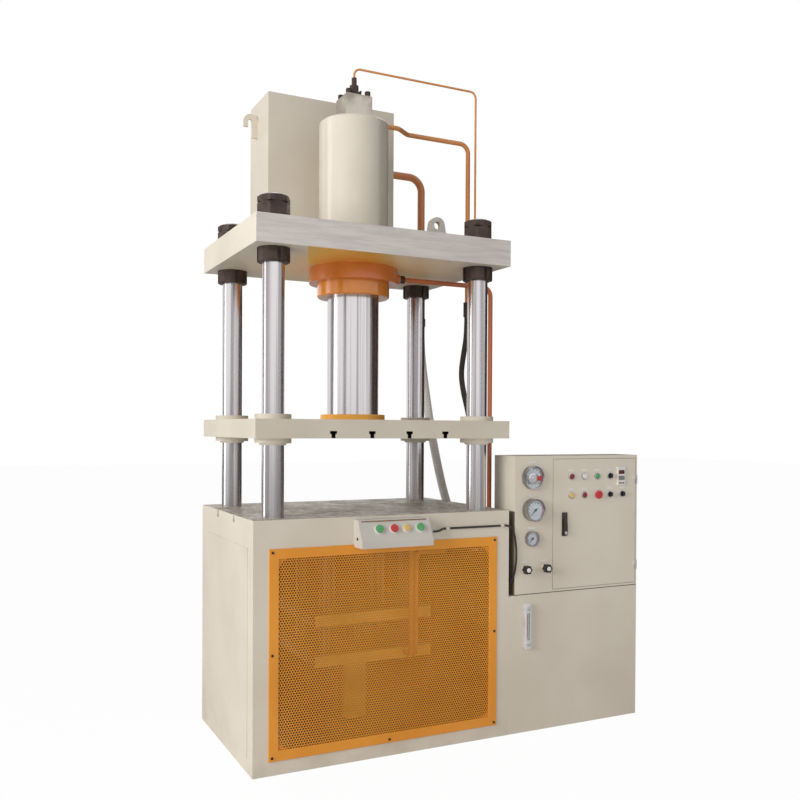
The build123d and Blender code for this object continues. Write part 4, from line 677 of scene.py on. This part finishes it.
contact_z, _, contact_front = gauges["contact"]
contact_face = contact_front + 1
contact_boss = turned(
    [(25, 0), (25, 1.5), (22, 4), (15, 5), (14, 3.6), (7, 3.6), (6, 5), (4, 6)],
    (gauge_x - 8, contact_face, contact_z - 2), FRONT, 40)
piece("contact_boss", contact_boss, "plated", "frame")
setting_key = turned(
    [(11, 0), (11, 4), (9, 6), (4.5, 6), (4.5, 9), (3.5, 10)], (gauge_x + 27, contact_face, contact_z - 3), FRONT, 24)
piece("contact_setting_key", setting_key, "red", "frame")

# Rings, plates and displays on the door
FACE = -400.0
knob_columns = {"regulator_knob_left": 666, "regulator_knob_right": 775}


def raised(x, z, half_width, low, high, face=FACE, proud=0.8, soft=0.3):
    """Thin plate on a face: as wide as asked either way of x, from low to high above z, and proud of the face."""
    return plate((x - half_width, face - proud, z + low), (x + half_width, face, z + high), soft)


panel_columns = [925.0, 999.0, 1073.0, 1147.0, 1221.0]
panel_upper, panel_lower = 1144.0, 1057.0
stop_place = (panel_columns[2], panel_lower)
ring_places = [(x, panel_upper) for x in panel_columns[:4]]
ring_places += [(x, panel_lower) for x in panel_columns if x != stop_place[0]]
control_ring = [(12.6, 0), (17.2, 0), (17.2, 2.2), (15.6, 4.6), (13.4, 5.0), (12.6, 4.4)]
low_ring = [(12.6, 0), (17.6, 0), (17.6, 1.6), (16.0, 3.2), (12.6, 3.2)]
control_rings = [turned(control_ring, (x, FACE, z), FRONT, 32, True) for x, z in ring_places]
control_rings.append(turned(low_ring, (stop_place[0], FACE, stop_place[1]), FRONT, 32, True))
piece("control_rings", joined(control_rings), "plated", "door")
tags = [raised(x, z, 16, 24, 33) for x, z in ring_places + [stop_place]]
piece("blank_control_tags", joined(tags), "white", "door")
meter_x, meter_z, meter_face = 1212.0, 1141.0, FACE - 8
meter_display = raised(meter_x, meter_z, 17, 10, 28, meter_face, 1, 0.4)
piece("meter_display", meter_display, "amber", "door")
meter_keys = [raised(meter_x, meter_z, 17, -19, 1, meter_face, 1.2, 0.4)]
meter_keys += [raised(meter_x + away, meter_z, 4, -36, -29, meter_face, 1.5, 0.5) for away in (-11, 0, 11)]
piece("meter_keys", joined(meter_keys), "grey", "door")
gauge_tags = [raised(gauge_x, z, 20, 0, 9) for z in (1206, 1056, 911)]
gauge_tags += [raised(x, 762, 15, 0, 8) for x in knob_columns.values()]
piece("blank_gauge_tags", joined(gauge_tags), "white", "frame")

# Lock barrel, knob caps and hinge sleeves
lock_barrel = turned([(7.5, 0), (7.5, 1.6), (6.5, 2.4), (2.0, 2.4), (2.0, 1.2)], (886, -415.3, 886), FRONT, 28)
piece("lock_barrel", lock_barrel, "plated", "lock_lever")
for knob_name, knob_x in knob_columns.items():
    cap = turned([(9.6, -3.0), (9.6, 0.4), (8.6, 1.8), (5.0, 2.6)], (knob_x, -441.3, 733), FRONT, 32)
    piece(knob_name + "_cap", cap, "white", knob_name)
hinge_place = (1305.0, -404.3)
for hinge_name, body, low, high in (("door", "door", 0.3, 22), ("cabinet", "frame", -22, -0.3)):
    sleeve = [(3.2, low), (4.25, low), (4.25, high), (3.2, high)]
    sleeves = [turned(sleeve, (*hinge_place, z), UP, 24, True) for z in (716.0, 1124.0)]
    piece("hinge_sleeves_" + hinge_name, joined(sleeves), "plated", body)

# Level gauge: sight window with its backing scale, and the two hollow bolts
level_x, level_z, level_face = 678.0, 478.0, FACE - 22
level_backing = raised(level_x, level_z, 7.8, -59.8, 59.8, level_face + 11.9, 2.4)
piece("level_backing", level_backing, "white", "frame")
level_mark = raised(level_x, level_z, 1.6, -52, 52, level_face + 9.6, 1.0)
piece("level_mark", level_mark, "red", "frame")
level_window = raised(level_x, level_z, 7.9, -59.9, 59.9, level_face + 3.6, 3.0)
piece("level_window", level_window, "glass", "frame")
level_bolt = [(9.5, 0), (9.5, 6), (8.5, 7.5), (3, 7.5)]
level_bolts = [turned(level_bolt, (level_x, level_face, level_z + away), FRONT, 6) for away in (-80, 80)]
piece("level_bolts", joined(level_bolts), "plated", "frame", 25)

# Screws of the valve block and its fitting
block_screws = [
    cap_screw((x * reach, y * reach, top), UP, diameter, height)
    for reach, top, diameter, height in ((46, 2853, 26, 22), (22, 2875, 10, 8))
    for x in (-1, 1) for y in (-1, 1)]
piece("block_screws", joined(block_screws), "nut", "frame")

# Button box: collars round its buttons, a dark strip along the face and a plug in the left end
slope = np.array([0.0, 46.0, 88.0])
slope_up = slope / np.linalg.norm(slope)
SLOPE = np.array([(1, 0, 0), slope_up, np.cross((1, 0, 0), slope_up)], float)
slope_foot = np.array([0.0, -486.0, 902.0])
box_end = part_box("button_box")[0][0] / MM


def on_box(x, rise):
    """Point of the sloped face at a place along it and a height up it."""
    return slope_foot + np.array([x, 0, 0]) + slope_up * rise


BUTTON_RISE = 55
collars = [
    turned([(r + 0.5, 0), (r + 4.8, 0), (r + 4.8, 3.4), (r + 3.0, 5.6), (r + 0.5, 5.6)],
           on_box(x, BUTTON_RISE), SLOPE, 36, True)
    for x, r in ((-78, 17), (-11, 17), (46, 14), (109, 17))]
piece("box_collars", joined(collars), "white", "frame")


def slope_strip(left, right, low, high, thick):
    """Thin bar on the sloped face, given by its ends and its height up the face."""
    ring = np.array([(left, low), (right, low), (right, high), (left, high)])
    flat = np.array([on_box(x, rise) for x, rise in ring])
    points = np.concatenate([flat, flat + SLOPE[2] * thick])
    faces = [[3, 2, 1, 0], [4, 5, 6, 7]] + [[k, (k + 1) % 4, 4 + (k + 1) % 4, 4 + k] for k in range(4)]
    return points * MM, faces


piece("box_strip", slope_strip(-150, 146, 88, 94, 0.8), "brown", "frame")
LEFT = np.array([(0, 1, 0), (0, 0, -1), (-1, 0, 0)], float)
end_plug = turned([(6.5, 0), (6.5, 1.4), (5.5, 2.2), (2.2, 2.2), (2.2, 0.8)], (box_end, -437, 913), LEFT, 24)
piece("box_end_plug", end_plug, "black", "frame")

# Floor and world: a pale studio with soft light from the left
FLOOR_GLOW, DIFFUSE_CUT = 0.97, 0.69
floor_mesh = bpy.data.meshes.new("studio_floor")
floor_mesh.from_pydata([(-30, -30, 0), (30, -30, 0), (30, 30, 0), (-30, 30, 0)], [], [(0, 1, 2, 3)])
studio_floor = bpy.data.objects.new("studio_floor", floor_mesh)
bpy.context.scene.collection.objects.link(studio_floor)
floor_finish = Finish("studio_floor", base_color=(0.9, 0.9, 0.89, 1.0), roughness=0.9)
glow = floor_finish.node("ShaderNodeEmission", {}, {"Color": (1.0, 1.0, 1.0, 1.0), "Strength": 1.0})
seen_floor = floor_finish.ray("Camera") * FLOOR_GLOW
floor_shader = floor_finish.node(
    "ShaderNodeMixShader", {},
    {0: seen_floor, 1: Val(floor_finish, floor_finish.shader.outputs[0]), 2: glow})
floor_finish.feed(floor_finish.tree.nodes["Material Output"].inputs["Surface"], floor_shader)
floor_mesh.materials.append(floor_finish.material)


def studio_card(name, place, width, height, tone, glow=0.0):
    """Upright card, facing the press, that only shows as a band in polished metal."""
    across = Vector((-place[1], place[0], 0)).normalized() * (width / 2)
    foot = Vector((place[0], place[1], 0))
    rise = Vector((0, 0, height))
    mesh = bpy.data.meshes.new(name)
    mesh.from_pydata([foot - across, foot + across, foot + across + rise, foot - across + rise], [], [(0, 1, 2, 3)])
    card = bpy.data.objects.new(name, mesh)
    bpy.context.scene.collection.objects.link(card)
    finish = Finish(name, base_color=tone, roughness=0.9, emission_color=tone, emission_strength=glow)
    mesh.materials.append(finish.material)
    card.visible_camera = card.visible_diffuse = card.visible_shadow = card.visible_transmission = False


studio_card("right_card", (4.7, 1.4), 8.0, 6.0, (0.05, 0.04, 0.036, 1.0))
studio_card("left_card", (-4.6, 3.2), 1.8, 6.0, (0.05, 0.045, 0.04, 1.0))
studio_card("bright_card", (-5.2, 1.8), 1.6, 6.0, (1.0, 1.0, 1.0, 1.0), 2.0)

world = bpy.data.worlds.new("studio_world")
bpy.context.scene.world = world
world.use_nodes = True
world_light = world.node_tree.nodes["Background"]
world_tree = Tree(world.node_tree)
world_tree.feed(world_light.inputs["Color"], (1.0, 1.0, 1.0, 1.0))
world_tree.feed(world_light.inputs["Strength"], 1.0 - DIFFUSE_CUT * world_tree.ray("Diffuse"))


def area_lamp(name, place, target, size, power, spread=180):
    """Square lamp at a place, turned to a target, whose beam is spread degrees wide."""
    data = bpy.data.lights.new(name, "AREA")
    data.size = size
    data.energy = power
    data.color = (1.0, 0.97, 0.93)
    data.spread = math.radians(spread)
    lamp = bpy.data.objects.new(name, data)
    bpy.context.scene.collection.objects.link(lamp)
    lamp.location = place
    lamp.rotation_euler = (Vector(target) - Vector(place)).to_track_quat("-Z", "Y").to_euler()
    return lamp


for lamp in (
        area_lamp("key_lamp", (-5.2, -2.2, 2.6), (-0.2, 0.0, 1.5), 2.8, 240),
        area_lamp("front_lamp", (0.0, -5.6, 2.2), (0.2, -0.4, 1.4), 2.4, 14),
        area_lamp("cabinet_lamp", (1.2, -4.5, 1.0), (1.0, -0.4, 0.85), 1.0, 1.8, 44)):
    lamp.visible_glossy = False

# Camera at the photograph's place
yaw, pitch, roll = (math.radians(value) for value in (CAMERA_YAW, CAMERA_PITCH, CAMERA_ROLL))
forward = Vector((math.sin(yaw) * math.cos(pitch), math.cos(yaw) * math.cos(pitch), math.sin(pitch)))
level_right = Vector((math.cos(yaw), -math.sin(yaw), 0))
level_up = level_right.cross(forward)
right = level_right * math.cos(roll) + level_up * math.sin(roll)
up = level_up * math.cos(roll) - level_right * math.sin(roll)
camera_data = bpy.data.cameras.new("photo_camera")
camera_data.sensor_width = SENSOR
camera_data.lens = FOCAL_PX / IMAGE_PX * SENSOR
camera_data.shift_y = (CENTRE_Y_PX - IMAGE_PX / 2) / IMAGE_PX
camera = bpy.data.objects.new("photo_camera", camera_data)
bpy.context.scene.collection.objects.link(camera)
turn = Matrix((right, up, -forward)).transposed().to_4x4()
camera.matrix_world = Matrix.Translation(Vector(CAMERA_PLACE) * MM) @ turn
bpy.context.scene.camera = camera
bpy.context.scene.view_settings.view_transform = "Standard"
